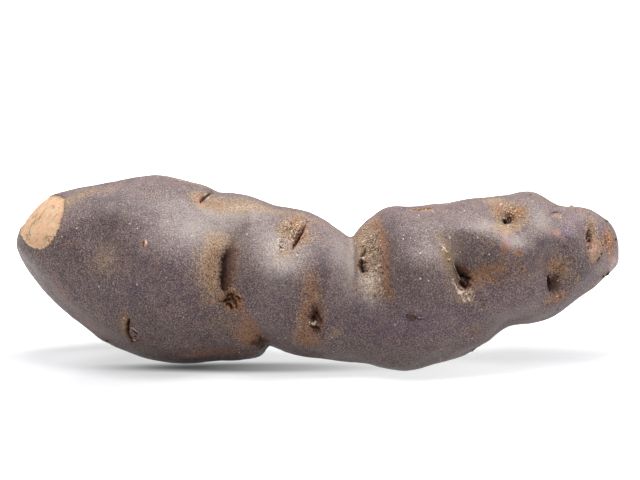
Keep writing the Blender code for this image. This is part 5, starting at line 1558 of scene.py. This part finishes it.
def floor_material():
    material = bpy.data.materials.new("floor")
    material.use_nodes = True
    shader = material.node_tree.nodes["Principled BSDF"]
    shader.inputs["Base Color"].default_value = (0.37, 0.37, 0.378, 1.0)
    shader.inputs["Roughness"].default_value = 0.6
    shader.inputs["Specular IOR Level"].default_value = 0.2
    # the floor glows as if lit from below: painted light round the tuber that softens its shadow, a painted contact
    # shadow where it touches, and glow again far away
    k = Nodes(material.node_tree)
    place = k.node("ShaderNodeSeparateXYZ")
    k.link(k.node("ShaderNodeNewGeometry").outputs["Position"], place.inputs[0])
    x, y = place.outputs["X"], place.outputs["Y"]

    def away(middle_x, middle_y, wide, deep, slant=0.0):
        """Distance from a middle line, counted in widths and depths."""
        along = k.math("MULTIPLY", k.math("SUBTRACT", x, middle_x), 1 / wide)
        line = k.math("ADD", k.math("MULTIPLY", x, slant), middle_y)
        across = k.math("MULTIPLY", k.math("SUBTRACT", y, line), 1 / deep)
        return k.math("SQRT", k.math("ADD", k.math("MULTIPLY", along, along), k.math("MULTIPLY", across, across)))

    most = k.math("ADD", k.math("MULTIPLY", x, 3.1), 0.715)
    around = k.math("MULTIPLY", k.ramp(away(-0.004, -0.005, 0.075, 0.0175, -0.14), 0.5, 1.7, 1.0, 0.0), most)
    # painted contact shadow: the glow drops under the tuber, more at the stem end
    contact_shadow_depth = k.math("SUBTRACT", 0.33, k.math("MULTIPLY", x, 11.0))
    under = k.math("MULTIPLY", k.ramp(away(-0.012, -0.0045, 0.026, 0.0050), 0.4, 1.4, 1.0, 0.0), contact_shadow_depth)
    sides = k.ramp(k.math("ABSOLUTE", x), 0.067, 0.085, 0.0, 1.3)
    far = k.math("MAXIMUM", k.ramp(away(0.0, 0.0, 2.4, 1.0), 0.027, 0.062, 0.0, 1.5), sides)
    shader.inputs["Emission Color"].default_value = (0.98, 0.99, 1.0, 1.0)
    glow_with_painted_shadow = k.math("ADD", k.math("ADD", k.math("SUBTRACT", around, under, clamp=True), far), k.ramp(y, 0.3, 1.2, 0.0, 0.6))
    k.link(glow_with_painted_shadow, shader.inputs["Emission Strength"])
    return material


# ======== floor, lights and camera ========


def make_stage():
    bm = bmesh.new()
    bmesh.ops.create_grid(bm, x_segments=1, y_segments=1, size=4.0)
    mesh = bpy.data.meshes.new("floor")
    bm.to_mesh(mesh)
    bm.free()
    floor = bpy.data.objects.new("floor", mesh)
    floor.location = (0.0, 0.0, -0.00002)
    floor.data.materials.append(floor_material())
    bpy.context.scene.collection.objects.link(floor)


def aim(thing, target):
    thing.rotation_euler = (Vector(target) - thing.location).to_track_quat("-Z", "Y").to_euler()


def area_light(name, place, target, wide, tall, power, colour=(1.0, 1.0, 1.0)):
    data = bpy.data.lights.new(name, "AREA")
    data.shape = "RECTANGLE"
    data.size, data.size_y = wide, tall
    data.energy = power
    data.color = colour
    light = bpy.data.objects.new(name, data)
    light.location = place
    bpy.context.scene.collection.objects.link(light)
    aim(light, target)
    return light


def make_light():
    world = bpy.data.worlds.new("surround")
    bpy.context.scene.world = world
    world.use_nodes = True
    back = world.node_tree.nodes["Background"]
    back.inputs["Color"].default_value = (1.0, 1.0, 1.0, 1.0)
    # a dim sky with a white band along the horizon, so that the floor has no visible edge
    k = Nodes(world.node_tree)
    sky = k.node("ShaderNodeSeparateXYZ")
    k.link(k.node("ShaderNodeTexCoord").outputs["Generated"], sky.inputs[0])
    k.link(k.ramp(sky.outputs["Z"], 0.10, 0.16, 1.0, 0.32), back.inputs["Strength"])
    middle = (0.0, 0.0, 0.02)
    area_light("key", (0.270, 0.072, 0.505), middle, 0.26, 0.42, 4.9)
    area_light("overhead", (0.0, -0.065, 0.575), middle, 0.30, 0.26, 4.0)
    area_light("rim", (-0.276, 0.231, 0.45), middle, 0.26, 0.26, 1.7)
    area_light("back", (0.0, 1.25, 1.35), (0.0, 0.85, 0.0), 2.2, 1.6, 8.0)


def make_camera():
    data = bpy.data.cameras.new("camera")
    data.sensor_width = 36.0
    data.lens = 36.0 * SIGHT_DISTANCE / 128.0  # 640 pixels show 128 mm at the tuber's middle
    data.clip_start = 0.01
    data.clip_end = 20.0
    camera = bpy.data.objects.new("camera", data)
    camera.location = Vector((EYE_POINT + np.array(STAND)) * MM)
    camera.rotation_euler = Vector(SIGHT).to_track_quat("-Z", "Y").to_euler()
    bpy.context.scene.collection.objects.link(camera)
    bpy.context.scene.camera = camera


make_camera()
make_light()
make_stage()
tuber = make_tuber()
tuber.data.materials.append(skin_material())
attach(tuber, "root")
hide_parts("potato")
bpy.context.scene.view_settings.view_transform = "Standard"
